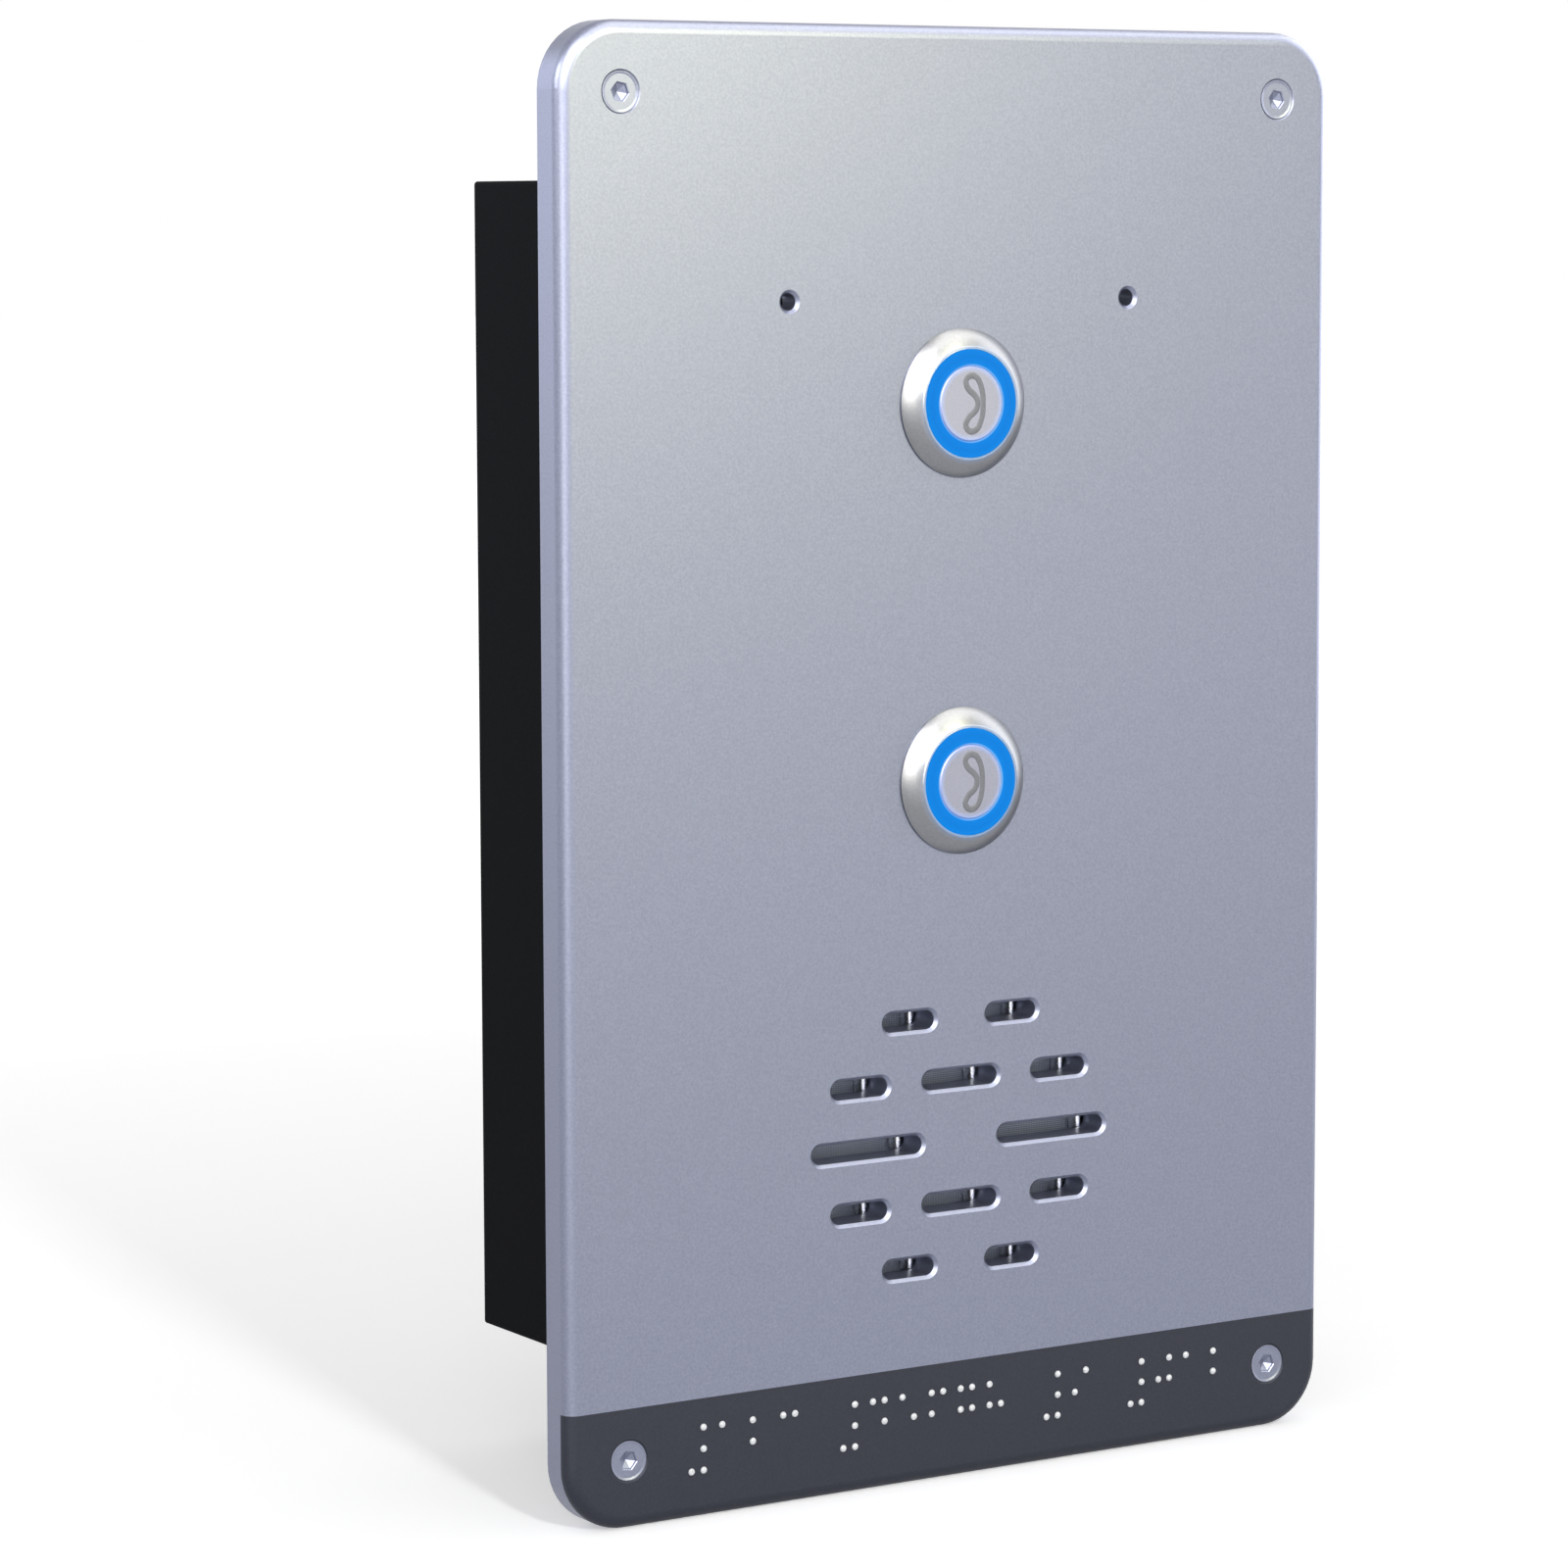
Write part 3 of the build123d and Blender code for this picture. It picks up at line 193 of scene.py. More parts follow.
def add_bump(material, height, depth, invert=False):
    """Relief of one depth (metres), from a height between zero and one."""
    bump = add_node(material, "ShaderNodeBump", Strength=1.0, Distance=depth, invert=invert)
    join(material, height, bump.inputs["Height"])
    join(material, bump.outputs["Normal"], shader_of(material).inputs["Normal"])


def add_spread(material, factor, low, high, socket):
    """A factor from zero to one spread between two values on one of the shader's sockets."""
    spread = add_node(material, "ShaderNodeMapRange", **{"To Min": low, "To Max": high})
    join(material, factor, spread.inputs["Value"])
    join(material, spread.outputs["Result"], shader_of(material).inputs[socket])


def grained(name, dark, light, size, depth=0.0, metallic=0.0, rough=(0.4, 0.5), specular=0.5):
    """Colour, roughness and relief that vary with noise of one grain size; size and depth are in metres."""
    middle = tuple((a + b) / 2 for a, b in zip(dark, light))
    material = new_finish(name, middle, metallic, sum(rough) / 2, specular)
    noise = add_node(material, "ShaderNodeTexNoise", Scale=1.0 / size, Detail=3.0, Roughness=0.6)
    join(material, place_in_object(material), noise.inputs["Vector"])
    grain = noise.outputs["Fac"]
    add_colour(material, grain, ((0.3, dark), (0.7, light)))
    add_spread(material, grain, *rough, "Roughness")
    if depth:
        add_bump(material, grain, depth)
    return material


def turned(name, dark, light, centre, step, depth, rough):
    """Metal turned on a lathe: fine rings round an axis along Y, with a grain over them."""
    material = grained(name, dark, light, size=0.4 * MM, metallic=1.0, rough=rough)
    rings = add_wave(material, place_in_object(material, centre), step,
                     wave_type="RINGS", rings_direction="Y", Distortion=0.6, Detail=1.0)
    add_bump(material, rings, depth)
    return material


def woven(name, dark, light, pitch, depth):
    """Plain weave: two crossing waves, along X and Z, give the threads' colour and height."""
    material = new_finish(name, light, metallic=0.15, roughness=0.6, specular=0.2)
    place = place_in_object(material)
    crossing = add_node(material, "ShaderNodeMath", operation="MULTIPLY")
    for index, direction in enumerate(("X", "Z")):
        thread = add_wave(material, place, pitch, wave_type="BANDS", bands_direction=direction)
        join(material, thread, crossing.inputs[index])
    add_colour(material, crossing.outputs["Value"], ((0.0, light), (0.8, dark)))
    add_bump(material, crossing.outputs["Value"], depth, invert=True)
    return material


def taped(name, dark, light, step, depth, rough):
    """Turns of tape laid side by side along X."""
    material = new_finish(name, light, metallic=0.0, roughness=rough)
    turns = add_wave(material, place_in_object(material), step,
                     wave_type="BANDS", bands_direction="X", Distortion=0.8, Detail=2.0)
    add_colour(material, turns, ((0.1, dark), (0.7, light)))
    add_bump(material, turns, depth)
    return material


def add_glow(material, centre, inner, outer, stops):
    """Light given off along a radius: stops of colour between two distances from an axis along Y."""
    flat = place_in_object(material, centre, scale=(1.0, 0.0, 1.0))
    distance = add_node(material, "ShaderNodeVectorMath", operation="LENGTH")
    join(material, flat, distance.inputs[0])
    across = add_node(material, "ShaderNodeMapRange", **{"From Min": inner, "From Max": outer})
    join(material, distance.outputs["Value"], across.inputs["Value"])
    add_colour(material, across.outputs["Result"], stops, "Emission Color")
    shader_of(material).inputs["Emission Strength"].default_value = 1.0
    return material


def lit_ring(name, centre):
    """Milky blue lens that glows, paler along its inner and outer rims."""
    material = grained(name, (0.001, 0.027, 0.11), (0.002, 0.033, 0.13),
                       size=0.6 * MM, rough=(0.34, 0.44), specular=0.04)
    pale, blue, deep = (0.24, 0.52, 0.82), (0.002, 0.215, 0.68), (0.002, 0.192, 0.63)
    return add_glow(material, centre, cap_radius, ring_radius,
                    ((0.0, pale), (0.09, blue), (0.5, deep), (0.88, blue), (1.0, pale)))


def cap_with_painted_glow(name, centre):
    """Satin cap with a painted glow: blue emission along its rim, standing in for the ring's light falling on
    it.
    """
    material = grained(name, (0.226, 0.231, 0.304), (0.262, 0.267, 0.348),
                       size=0.30 * MM, depth=0.008 * MM, metallic=0.7, rough=(0.40, 0.48))
    # Painted glow: emission colours on the cap's rim that stand in for light from the ring.
    dark, dim, blue = (0.0, 0.0, 0.0), (0.012, 0.060, 0.20), (0.020, 0.110, 0.40)
    glow_width = 1.0 * MM
    return add_glow(material, centre, cap_radius - glow_width, cap_radius,
                    ((0.0, dark), (0.45, dim), (1.0, blue)))


def bezel_with_painted_glow(name, centre):
    """Turned steel with a painted glow: blue emission along its inner rim, standing in for the ring's light
    falling on it.
    """
    material = turned(name, (0.196, 0.200, 0.214), (0.222, 0.226, 0.240), centre,
                      step=0.14 * MM, depth=0.001 * MM, rough=(0.29, 0.35))
    # Painted glow: emission colours on the bezel's inner rim that stand in for light from the ring.
    blue, dim, dark = (0.010, 0.130, 0.34), (0.002, 0.030, 0.09), (0.0, 0.0, 0.0)
    glow_width = 0.9 * MM
    return add_glow(material, centre, dome_inner, dome_inner + glow_width,
                    ((0.0, blue), (0.35, dim), (1.0, dark)))


# Metals.
satin_plate = grained("satin_plate", (0.184, 0.197, 0.272), (0.224, 0.239, 0.320),
                      size=0.40 * MM, depth=0.014 * MM, metallic=0.75, rough=(0.34, 0.42))
screw_satin = grained("screw_satin", (0.186, 0.199, 0.274), (0.222, 0.237, 0.318),
                      size=0.35 * MM, depth=0.006 * MM, metallic=0.8, rough=(0.34, 0.42))
stainless = grained("stainless", (0.46, 0.47, 0.49), (0.54, 0.55, 0.57),
                    size=0.35 * MM, depth=0.006 * MM, metallic=1.0, rough=(0.28, 0.38))
bright_steel = grained("bright_steel", (0.66, 0.67, 0.70), (0.74, 0.75, 0.77),
                       size=0.3 * MM, metallic=1.0, rough=(0.24, 0.32))
zinc_sheet = grained("zinc_sheet", (0.44, 0.45, 0.47), (0.58, 0.59, 0.61),
                     size=2.5 * MM, depth=0.01 * MM, metallic=1.0, rough=(0.32, 0.46))
aluminium_can = grained("aluminium_can", (0.70, 0.71, 0.72), (0.78, 0.79, 0.80),
                        size=0.4 * MM, depth=0.006 * MM, metallic=1.0, rough=(0.26, 0.34))
plated_brass = grained("plated_brass", (0.66, 0.50, 0.24), (0.76, 0.59, 0.31),
                       size=0.4 * MM, depth=0.006 * MM, metallic=1.0, rough=(0.26, 0.36))

# Coats and paints.
slate_strip = grained("slate_strip", (0.029, 0.0315, 0.046), (0.036, 0.039, 0.055),
                      size=0.40 * MM, depth=0.014 * MM, metallic=0.4, rough=(0.46, 0.54), specular=0.2)
black_coat = grained("black_coat", (0.0026, 0.0030, 0.0044), (0.0050, 0.0058, 0.0078),
                     size=0.5 * MM, depth=0.03 * MM, rough=(0.52, 0.64), specular=0.02)
sign_grey = grained("sign_grey", (0.115, 0.12, 0.145), (0.150, 0.155, 0.180),
                    size=0.30 * MM, metallic=0.3, rough=(0.50, 0.60))
white_enamel = grained("white_enamel", (0.74, 0.75, 0.77), (0.80, 0.81, 0.82),
                       size=0.50 * MM, rough=(0.32, 0.40))
white_lacquer = grained("white_lacquer", (0.72, 0.73, 0.71), (0.78, 0.79, 0.77),
                        size=0.8 * MM, depth=0.01 * MM, rough=(0.35, 0.45))
green_board = grained("green_board", (0.006, 0.060, 0.028), (0.014, 0.110, 0.050),
                      size=1.6 * MM, depth=0.02 * MM, rough=(0.28, 0.40))

# Plastics, rubber, paper and the rest.
black_plastic = grained("black_plastic", (0.014, 0.014, 0.015), (0.022, 0.022, 0.023),
                        size=0.25 * MM, depth=0.012 * MM, rough=(0.40, 0.52))
green_plastic = grained("green_plastic", (0.030, 0.240, 0.060), (0.040, 0.285, 0.075),
                        size=0.6 * MM, depth=0.012 * MM, rough=(0.38, 0.48))
orange_plastic = grained("orange_plastic", (0.80, 0.19, 0.018), (0.88, 0.23, 0.025),
                         size=0.6 * MM, depth=0.010 * MM, rough=(0.36, 0.46))
black_rubber = grained("black_rubber", (0.012, 0.012, 0.013), (0.020, 0.020, 0.021),
                       size=0.3 * MM, depth=0.02 * MM, rough=(0.70, 0.85))
grey_foam = grained("grey_foam", (0.030, 0.030, 0.032), (0.070, 0.070, 0.075),
                    size=0.5 * MM, depth=0.20 * MM, rough=(0.85, 0.95))
dark_ferrite = grained("dark_ferrite", (0.028, 0.028, 0.030), (0.050, 0.050, 0.053),
                       size=0.3 * MM, depth=0.02 * MM, rough=(0.60, 0.75))
pressed_paper = grained("pressed_paper", (0.010, 0.010, 0.011), (0.030, 0.029, 0.028),
                        size=0.7 * MM, depth=0.05 * MM, rough=(0.75, 0.88))
yellow_tape = taped("yellow_tape", (0.56, 0.36, 0.03), (0.72, 0.50, 0.06),
                    step=0.9 * MM, depth=0.05 * MM, rough=0.4)
grey_mesh = woven("grey_mesh", (0.27, 0.30, 0.40), (0.70, 0.76, 0.90), pitch=0.30 * MM, depth=0.06 * MM)

finish_of = {}
for finish, names in (
    (satin_plate, "faceplate"),
    (slate_strip, "tactile_strip"),
    (black_coat, "housing rear_cover"),
    (stainless, "fixing_screws housing_screws cover_screws speaker_screws board_screws"),
    (grey_foam, "housing_gasket speaker_gasket"),
    (grey_mesh, "speaker_mesh"),
    (zinc_sheet, "speaker_frame speaker_yoke"),
    (pressed_paper, "speaker_cone"),
    (dark_ferrite, "speaker_magnet transformer_core"),
    (plated_brass, "speaker_spacers board_standoffs jack_contacts"),
    (black_rubber, "left_microphone_boot right_microphone_boot"),
    (aluminium_can, "left_microphone right_microphone capacitors"),
    (green_board, "main_board"),
    (black_plastic, "network_jack processor"),
    (green_plastic, "terminal_block"),
    (orange_plastic, "terminal_levers"),
    (yellow_tape, "transformer_winding"),
):
    finish_of.update(dict.fromkeys(names.split(), finish))

for side in SIDES:
    # The bezel's steel carries a painted glow from the ring along its inner rim; the barrel nut shares this
    # material.
    bezel_steel_with_painted_glow = bezel_with_painted_glow(f"{side}_turned_steel_painted_glow", button_axis[side])
    finish_of.update({
        f"{side}_bezel": bezel_steel_with_painted_glow,
        f"{side}_barrel_nut": bezel_steel_with_painted_glow,
        f"{side}_light_ring": lit_ring(f"{side}_lens", button_axis[side]),
        f"{side}_button_cap": cap_with_painted_glow(f"{side}_cap_satin_painted_glow", button_axis[side]),
        f"{side}_bezel_seal": black_rubber,
        f"{side}_lock_washer": zinc_sheet,
        f"{side}_led_board": white_lacquer,
        f"{side}_return_spring": bright_steel,
        f"{side}_switch_body": black_plastic,
        f"{side}_switch_terminals": plated_brass,
    })

for name, node in nodes.items():
    node.data.materials.clear()
    node.data.materials.append(finish_of[name])


def add_piece(piece, finish, body, slot, *stands_for):
    """Give a new piece its finish, the body it rides on and the nodes it stands for."""
    piece.data.materials.append(finish)
    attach(piece, body)
    if stands_for:
        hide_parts(*stands_for)


# Raised dots on the strip: plain numerals, each cell two dots wide and three high.

DOT_PLACES = {"1": (0, 0), "2": (0, 1), "3": (0, 2), "4": (1, 0), "5": (1, 1), "6": (1, 2)}
NUMERAL_DOTS = {"#": "3456", "1": "1", "2": "12", "3": "14", "4": "145", "5": "15", "6": "124",
                "7": "1245", "8": "125", "9": "24", "0": "245", " ": ""}


def put_dots(cells, first, cell_pitch, dot_pitch, row_pitch, radius, height):
    """Each dot is a low dome: radius falls as a cosine and height rises as a sine of one angle."""
    places = [(cell, *DOT_PLACES[dot]) for cell, sign in enumerate(cells) for dot in NUMERAL_DOTS[sign]]
    cell, column, row = np.array(places, float).T
    across = first[0] + cell * cell_pitch + column * dot_pitch
    upright = first[1] - row * row_pitch
    middles = np.stack((across, np.full_like(across, strip_front), upright), -1)
    lift = np.radians((-12.0, 0.0, 22.0, 45.0, 68.0, 84.0))[:, None]
    dome = turned_points(radius * np.cos(lift), -height * np.sin(lift), -full_turn(14))
    return put_copies("tactile_dots", middles, dome)


dots = put_dots("#123 #45678 #9 #012", first=(-48.2 * MM, -96.3 * MM), cell_pitch=5.35 * MM,
                dot_pitch=2.1 * MM, row_pitch=3.25 * MM, radius=0.54 * MM, height=0.36 * MM)
add_piece(dots, white_enamel, "intercom", "white_board")


# The handset sign on each cap. Its outline, in millimetres from the cap's middle, mirrors above and below.

SIGN_NECK, SIGN_BACK = (1.08, 0.0), (2.06, 0.0)
SIGN_UPPER = np.array(((0.95, 0.68), (0.40, 1.36), (-0.50, 2.05), (-1.04, 3.05), (-0.78, 3.82),
                       (0.06, 4.18), (1.06, 3.72), (1.70, 2.55), (2.00, 1.25)))
SIGN_OUTLINE = np.concatenate(([SIGN_NECK], SIGN_UPPER, [SIGN_BACK], SIGN_UPPER[::-1] * (1, -1))) * MM


def closed_curve(points, steps):
    """A smooth closed line through points: a cubic on each span, with slopes from the points either side."""
    before, here, after, beyond = (np.roll(points, shift, 0)[:, None, :] for shift in (1, 0, -1, -2))
    t = np.linspace(0.0, 1.0, steps, endpoint=False)[None, :, None]
    line = (2 * here + (after - before) * t + (2 * before - 5 * here + 4 * after - beyond) * t ** 2
            + (3 * here - before - 3 * after + beyond) * t ** 3) / 2
    return line.reshape(-1, points.shape[1])


def put_sign(side, width, height):
    """A low half-round bead carried along the closed line of the sign, set on the cap's face."""
    line = closed_curve(SIGN_OUTLINE, steps=6)
    along = np.roll(line, -1, 0) - np.roll(line, 1, 0)
    along /= np.linalg.norm(along, axis=1, keepdims=True)
    outward = np.stack((along[:, 1], -along[:, 0]), -1)
    turn = np.radians((-20.0, 0.0, 30.0, 60.0, 90.0, 120.0, 150.0, 180.0, 200.0))[:, None]
    flat = line[None] + (width / 2 * np.cos(turn))[..., None] * outward[None]
    raised = cap_low.y - height * np.sin(turn)
    points = np.stack(np.broadcast_arrays(flat[..., 0], raised, flat[..., 1] + button_axis[side][2]), -1)
    return put_mesh(f"{side}_handset_sign", points, grid_faces(*points.shape[:2], close_rows=True))


for side in SIDES:
    sign = put_sign(side, width=0.94 * MM, height=0.05 * MM)
    add_piece(sign, sign_grey, f"{side}_button", "dark_metal")


# The rounded front of each bezel.

def put_dome(side, inner, outer, front, edge, bulge):
    """An arc from the inner rim to the outer edge, closed inside the bezel and carried round its axis."""
    chord = np.array((outer - inner, edge - front))
    length = np.linalg.norm(chord)
    along = chord / length
    away = np.array((along[1], -along[0]))
    radius = (length ** 2 / 4 + bulge ** 2) / (2 * bulge)
    half = np.arcsin(length / 2 / radius)
    turn = np.linspace(-half, half, 19)[:, None]
    arc = (np.array((inner, front)) + (length / 2 + radius * np.sin(turn)) * along
           + radius * (np.cos(turn) - np.cos(half)) * away)
    inset, edge_depth, rim_depth = 0.12 * MM, 0.18 * MM, 0.30 * MM
    inside = np.array(((outer - inset, edge + edge_depth), (inner + inset, front + rim_depth)))
    profile = np.concatenate((arc, inside))[:, None, :]
    points = button_axis[side] + turned_points(profile[..., 0], profile[..., 1], full_turn(96))
    piece = put_mesh(f"{side}_bezel_dome", points, grid_faces(*points.shape[:2], close_rows=True))
    piece.data.set_sharp_from_angle(angle=np.radians(40.0))
    return piece


# The dome covers the bezel by a hair and ends a little way in front of the plate.
dome_cover = 0.02 * MM
dome_edge = plate_low.y - 0.33 * MM
dome_bulge = 0.22 * MM
# Each dome takes its bezel's steel, with the painted glow from the ring along its inner rim.
for side in SIDES:
    dome = put_dome(side, dome_inner, bezel_high.x + dome_cover, bezel_low.y - dome_cover,
                    dome_edge, dome_bulge)
    add_piece(dome, finish_of[f"{side}_bezel"], "intercom", "bright_metal")


# The return springs, each a round wire wound along a helix where the CAD spring stood.

def put_spring(side, wire, turns):
    """A round wire, given by its radius, along a helix from its seat at the back to the ring's collar."""
    low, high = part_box(f"{side}_return_spring")
    coil = (high.x - low.x) / 2 - wire
    back, front = high.y - wire, low.y + wire
    height = button_axis[side][2]
    share = np.linspace(0.0, 1.0, 24 * turns + 1)[:, None]
    angle = 2 * np.pi * turns * share
    outward = np.concatenate((np.cos(angle), 0 * angle, np.sin(angle)), 1)
    line = np.array((0.0, 0.0, height)) + coil * outward
    line[:, 1:2] = back + (front - back) * share
    climb = (front - back) / (2 * np.pi * turns * coil)
    way = np.concatenate((-np.sin(angle), np.full_like(angle, climb), np.cos(angle)), 1)
    way /= np.linalg.norm(way, axis=1, keepdims=True)
    over = np.cross(way, outward)
    turn = full_turn(10)[None, :, None]
    points = line[:, None] + wire * (np.cos(turn) * outward[:, None] + np.sin(turn) * over[:, None])
    grid = points.shape[:2]
    piece = put_mesh(f"{side}_wound_spring", points, grid_faces(*grid), end_faces(*grid))
    piece.data.materials.append(bright_steel)
    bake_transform(piece)
    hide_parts(f"{side}_return_spring")


for side in SIDES:
    put_spring(side, wire=0.35 * MM, turns=5)


# Bright ribs that hold the speaker's mesh off the plate, one at the right end of each slot.

# Middles across, length (both in millimetres) and rows of the slots, counted from the speaker's axis.
SPEAKER_SLOTS = (
    ((-9.35, 9.35), 9.3, (-2, 2)),
    ((-18.2, 18.2), 10.1, (-1, 1)),
    ((-16.8, 16.8), 19.8, (0,)),
    ((0.0,), 13.7, (-1, 1)),
)
SLOT_ROW_PITCH = 9.46


def put_ribs(middles, half_width, half_depth, half_height):
    """An upright oval bar with domed ends: the section keeps to the middle and closes as a quarter round."""
    lift = np.radians((-80.0, -60.0, -30.0, 0.0, 0.0, 30.0, 60.0, 80.0))[:, None]
    stretch = np.repeat((-1.0, 1.0), 4)[:, None] * (half_height - half_depth)
    around = full_turn(28)
    bar = np.stack(np.broadcast_arrays(half_width * np.cos(lift) * np.cos(around),
                                       half_depth * np.cos(lift) * np.sin(around),
                                       half_depth * np.sin(lift) + stretch), -1)
    return put_copies("mesh_ribs", middles, bar)


mesh_low, mesh_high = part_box("speaker_mesh")
gasket_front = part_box("speaker_gasket")[0].y
speaker_height = (mesh_low.z + mesh_high.z) / 2
rib_half_width = 0.75 * MM
rib_half_depth = (mesh_low.y - gasket_front) / 2
rib_half_height = 2.6 * MM
rib_middles = np.array([
    ((middle + length / 2) * MM - rib_half_width, gasket_front + rib_half_depth,
     speaker_height + row * SLOT_ROW_PITCH * MM)
    for middles, length, rows in SPEAKER_SLOTS for middle in middles for row in rows])
ribs = put_ribs(rib_middles, rib_half_width, rib_half_depth, rib_half_height)
add_piece(ribs, bright_steel, "intercom", "bright_metal")


# The four fixing screws: hex socket, countersunk head, neck and a rolled thread.

def screw_rings(pairs, outline, start):
    """One ring for each pair of a radius, which follows an outline, and a place past the start along Y."""
    radius, along = np.array(pairs).T[:, :, None]
    return np.stack(np.broadcast_arrays(radius * outline, start + along), -1)


def put_fixing_screws(places, head, neck, core, crest, pitch):
    """Rings along the screw: a hexagon in the socket, circles on head and neck, a helix on the thread."""
    low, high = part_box("fixing_screws")
    front, tip = low.y, high.y
    dish, rim, neck_end = 0.09 * MM, 0.10 * MM, 7.0 * MM
    around = full_turn(36)
    circle = np.ones_like(around)
    socket_turn = np.radians(40.0)
    hexagon = np.cos(np.pi / 6) / np.cos((around - socket_turn + np.pi / 6) % (np.pi / 3) - np.pi / 6)
    # From the drilled bottom of the socket up its walls to its bevelled mouth.
    socket = screw_rings(((0.10 * MM, 1.05 * MM), (1.36 * MM, 0.42 * MM), (1.44 * MM, 0.20 * MM),
                          (1.60 * MM, dish)), hexagon, front)
    # From the socket's mouth over the dished face, the rim and the cone to the end of the neck.
    outside = screw_rings(((1.68 * MM, dish), (head - 0.42 * MM, dish), (head - 0.10 * MM, 0.0),
                           (head - 0.02 * MM, 0.0), (head, 0.02 * MM), (head, rim), (neck, rim + head - neck),
                           (neck, neck_end - 0.1 * MM), (core, neck_end)), circle, front)
    deep = np.arange(front + neck_end + 0.05 * MM, tip - 0.5 * MM, pitch / 6)[:, None]
    phase = np.abs(((deep / pitch - around / (2 * np.pi)) % 1.0) * 2 - 1)
    flank = np.clip(1.35 * phase - 0.1, 0.0, 1.0)
    thread = np.stack(np.broadcast_arrays(core + (crest - core) * flank, deep), -1)
    end = screw_rings(((core, -0.4 * MM), (core - 0.3 * MM, 0.0)), circle, tip)
    rings = np.concatenate((socket, outside, thread, end))
    piece = put_copies("threaded_screws", places, turned_points(rings[..., 0], rings[..., 1], around))
    piece.data.set_sharp_from_angle(angle=np.radians(14.0))
    return piece


screw_inset = 10.3 * MM
screw_places = np.array([(x * (plate_high.x - screw_inset), 0.0, z * (plate_high.z - screw_inset))
                         for x in (-1, 1) for z in (-1, 1)])
screws = put_fixing_screws(screw_places, head=3.0 * MM, neck=1.45 * MM, core=1.22 * MM, crest=1.5 * MM,
                           pitch=0.5 * MM)
add_piece(screws, screw_satin, "intercom", "steel", "fixing_screws")


# The stage: a level white floor, a soft sky, softboxes, and cards that show only in glossy surfaces.

WHITE = (1.0, 1.0, 1.0)

# Name, place, width and height in metres, power in watts, and colour.
SOFTBOXES = (
    ("key_softbox", (-0.24, -1.36, 0.75), (0.15, 0.15), 8.5, WHITE),
    ("left_softbox", (-0.95, -1.15, 0.60), (0.8, 0.8), 3.0, WHITE),
)
CARDS = (
    ("left_card", (-1.02, -0.92, 0.48), (0.9, 0.9), 15.5, (1.0, 0.97, 0.87)),
    ("upper_left_card", (-0.55, -0.72, 1.00), (0.9, 0.7), 14.0, (1.0, 0.98, 0.95)),
    ("top_card", (0.45, -0.30, 1.15), (1.2, 0.8), 11.5, (1.0, 0.97, 0.88)),
    ("right_card", (1.20, 0.05, 0.40), (1.4, 1.3), 20.0, WHITE),
    ("rear_card", (-0.80, 1.25, 0.45), (0.9, 0.9), 5.0, (0.86, 0.90, 1.0)),
    ("near_left_card", (-0.37, 0.02, 0.22), (0.12, 0.12), 0.7, WHITE),
    ("near_front_card", (-0.16, -0.49, 0.27), (0.16, 0.16), 1.1, WHITE),
    ("sheen_card", (0.375, -0.914, 0.487), (0.12, 0.76), 9.2, (1.0, 0.97, 0.56)),
)


def seen_directly(tree):
    """One for camera, glossy and transmission rays, so that metal shows the same background as the camera."""
    path = tree.nodes.new("ShaderNodeLightPath")
    either = path.outputs["Is Camera Ray"]
    for kind in ("Is Glossy Ray", "Is Transmission Ray"):
        more = tree.nodes.new("ShaderNodeMath")
        more.operation = "MAXIMUM"
        tree.links.new(either, more.inputs[0])
        tree.links.new(path.outputs[kind], more.inputs[1])
        either = more.outputs["Value"]
    return either


def put_floor():
    """A level disc: rings of points at growing radii round the object's foot."""
    reach = np.array((0.001, 0.2, 0.6, 1.5, 4.0, 9.0))[:, None]
    around = full_turn(64)
    points = np.stack(np.broadcast_arrays(reach * np.cos(around), -reach * np.sin(around), plate_low.z), -1)
    grid = points.shape[:2]
    floor = put_mesh("floor", points, grid_faces(*grid), end_faces(*grid)[:1])
    paper = grained("white_paper", (0.94, 0.94, 0.94), (0.96, 0.96, 0.96),
                    size=3.0 * MM, rough=(0.9, 0.95), specular=0.0)
    # The floor gives off more light further away, so that it runs out into the white sky.
    away = add_node(paper, "ShaderNodeVectorMath", operation="LENGTH")
    join(paper, place_in_object(paper, (0.0, 0.0, plate_low.z)), away.inputs[0])
    lift = add_node(paper, "ShaderNodeMapRange",
                    **{"From Min": 0.2, "From Max": 1.1, "To Min": 0.36, "To Max": 0.72})
    join(paper, away.outputs["Value"], lift.inputs["Value"])
    glow = add_node(paper, "ShaderNodeMath", operation="MULTIPLY")
    join(paper, lift.outputs["Result"], glow.inputs[0])
    join(paper, seen_directly(paper.node_tree), glow.inputs[1])
    shader_of(paper).inputs["Emission Color"].default_value = (*WHITE, 1.0)
    join(paper, glow.outputs["Value"], shader_of(paper).inputs["Emission Strength"])
    floor.data.materials.append(paper)


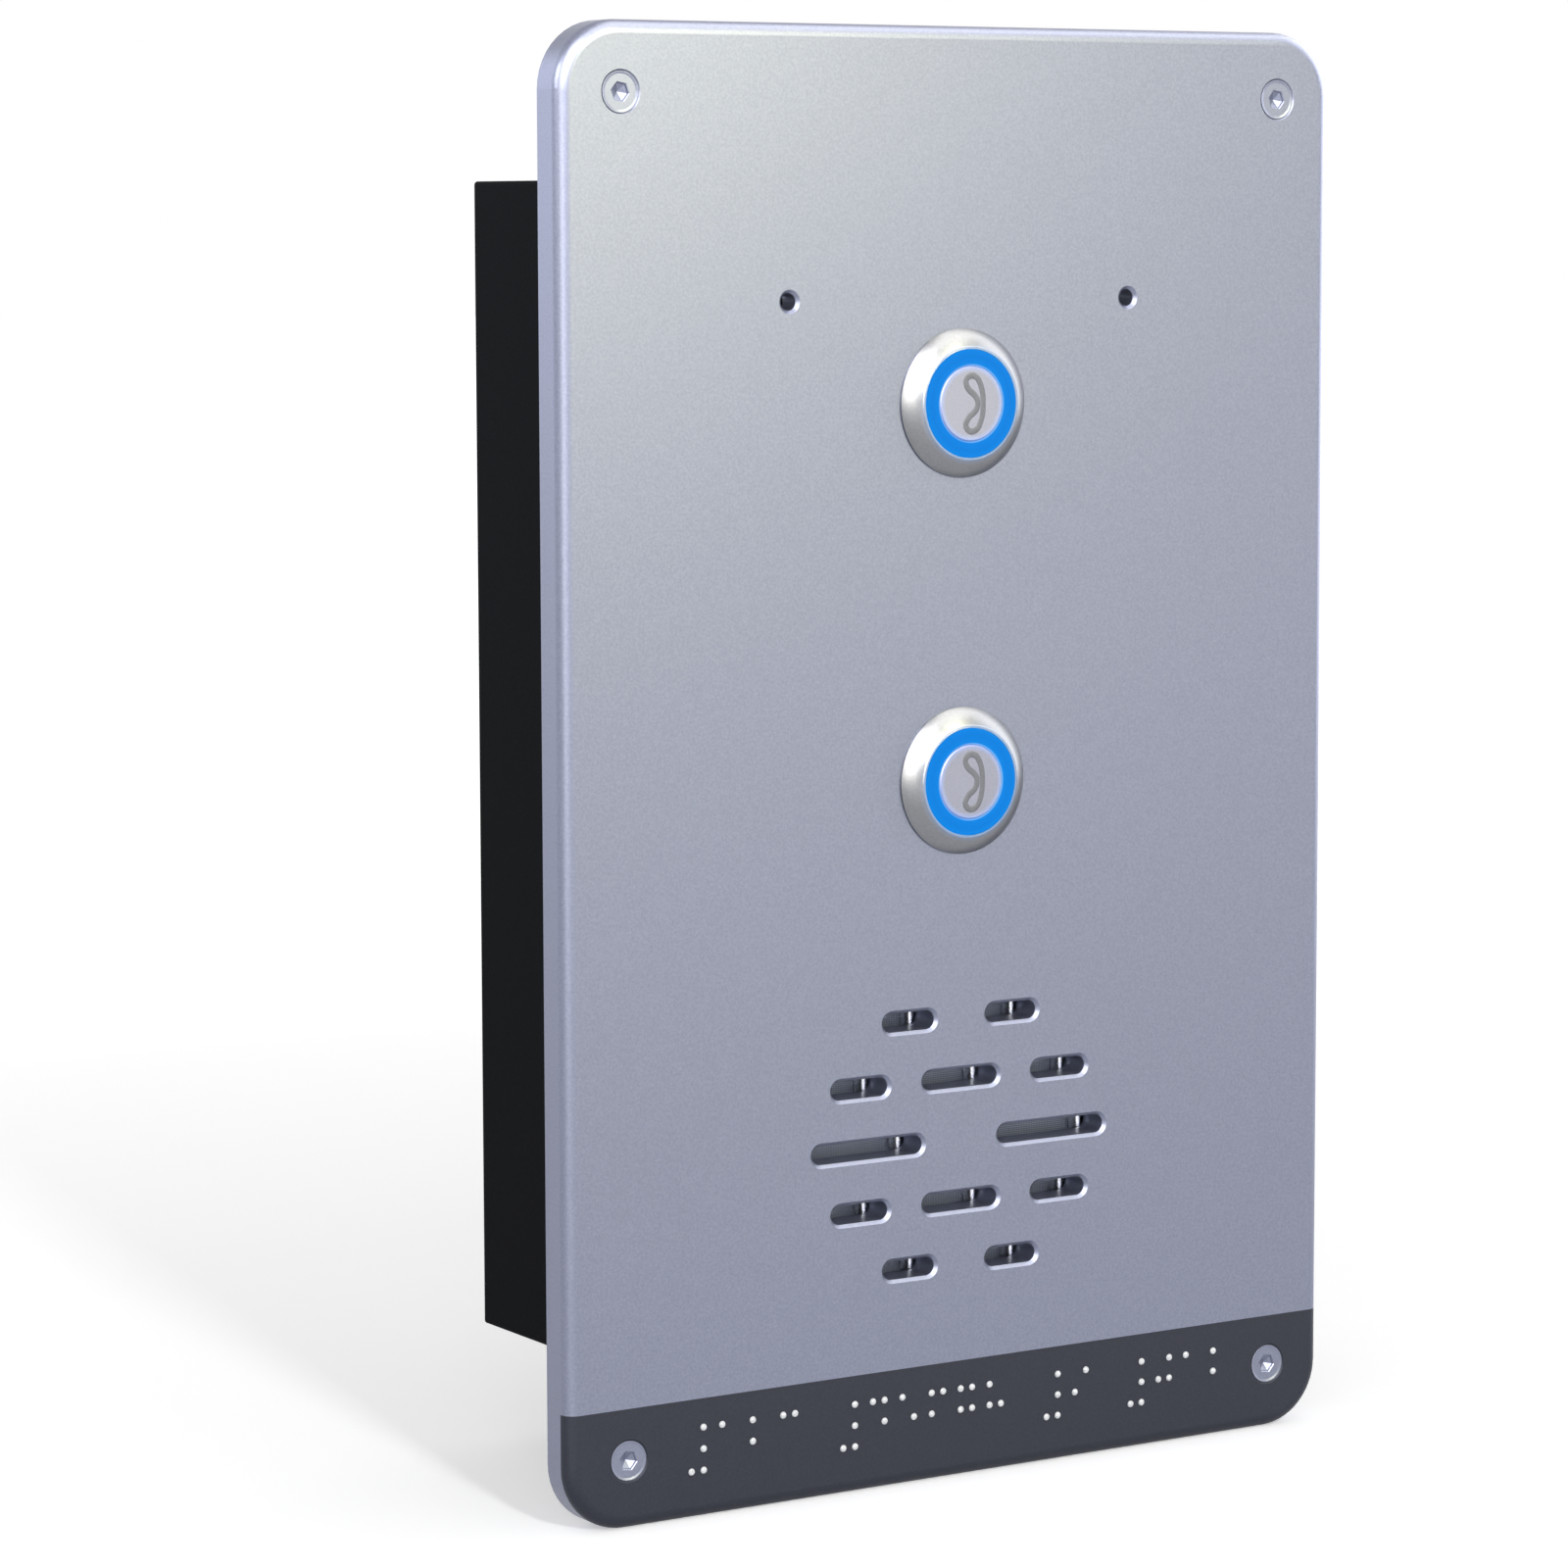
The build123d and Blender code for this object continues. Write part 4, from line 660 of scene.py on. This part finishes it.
def put_sky(ambient):
    """White all round where it is seen, and a dimmer even light on the object."""
    world = bpy.data.worlds.new("studio")
    bpy.context.scene.world = world
    world.use_nodes = True
    tree = world.node_tree
    level = tree.nodes.new("ShaderNodeMapRange")
    level.inputs["To Min"].default_value = ambient
    level.inputs["To Max"].default_value = 1.0
    tree.links.new(seen_directly(tree), level.inputs["Value"])
    background = tree.nodes["Background"]
    background.inputs["Color"].default_value = (*WHITE, 1.0)
    tree.links.new(level.outputs["Result"], background.inputs["Strength"])


def put_softbox(name, place, size, power, colour, lights_matt):
    """An area lamp at a place, turned to face the middle of the object."""
    lamp = bpy.data.lights.new(name, "AREA")
    lamp.shape = "RECTANGLE"
    lamp.size, lamp.size_y = size
    lamp.energy = power
    lamp.color = colour
    box = bpy.data.objects.new(name, lamp)
    box.location = place
    box.rotation_euler = (-Vector(place)).to_track_quat("-Z", "Y").to_euler()
    box.visible_diffuse = lights_matt
    bpy.context.scene.collection.objects.link(box)


put_floor()
put_sky(ambient=0.55)
for softbox in SOFTBOXES:
    put_softbox(*softbox, lights_matt=True)
for card in CARDS:
    put_softbox(*card, lights_matt=False)


# The camera, from a fit of the plate's edges, buttons and screws to the photograph.

CAMERA_PLACE = (-0.430925, -0.639456, 0.082192)
YAW, PITCH, ROLL = np.radians((32.241, 6.367, -0.151))
FOCAL_PIXELS = 5206.28
PHOTO_PIXELS = 1600
SENSOR_WIDTH = 36.0


def put_camera():
    """Yaw, downward pitch and roll give the camera's axes: right, up and back."""
    ahead = np.array((np.sin(YAW) * np.cos(PITCH), np.cos(YAW) * np.cos(PITCH), -np.sin(PITCH)))
    level = np.array((np.cos(YAW), -np.sin(YAW), 0.0))
    above = np.cross(level, ahead)
    right = np.cos(ROLL) * level + np.sin(ROLL) * above
    up = np.cos(ROLL) * above - np.sin(ROLL) * level
    turn = Matrix(np.stack((right, up, -ahead), 1).tolist()).to_4x4()
    lens = bpy.data.cameras.new("camera")
    lens.sensor_width = SENSOR_WIDTH
    lens.lens = SENSOR_WIDTH * FOCAL_PIXELS / PHOTO_PIXELS
    lens.clip_start = 0.05
    lens.clip_end = 20.0
    camera = bpy.data.objects.new("camera", lens)
    camera.matrix_world = Matrix.Translation(CAMERA_PLACE) @ turn
    bpy.context.scene.collection.objects.link(camera)
    bpy.context.scene.camera = camera


put_camera()
bpy.context.scene.view_settings.view_transform = "Standard"
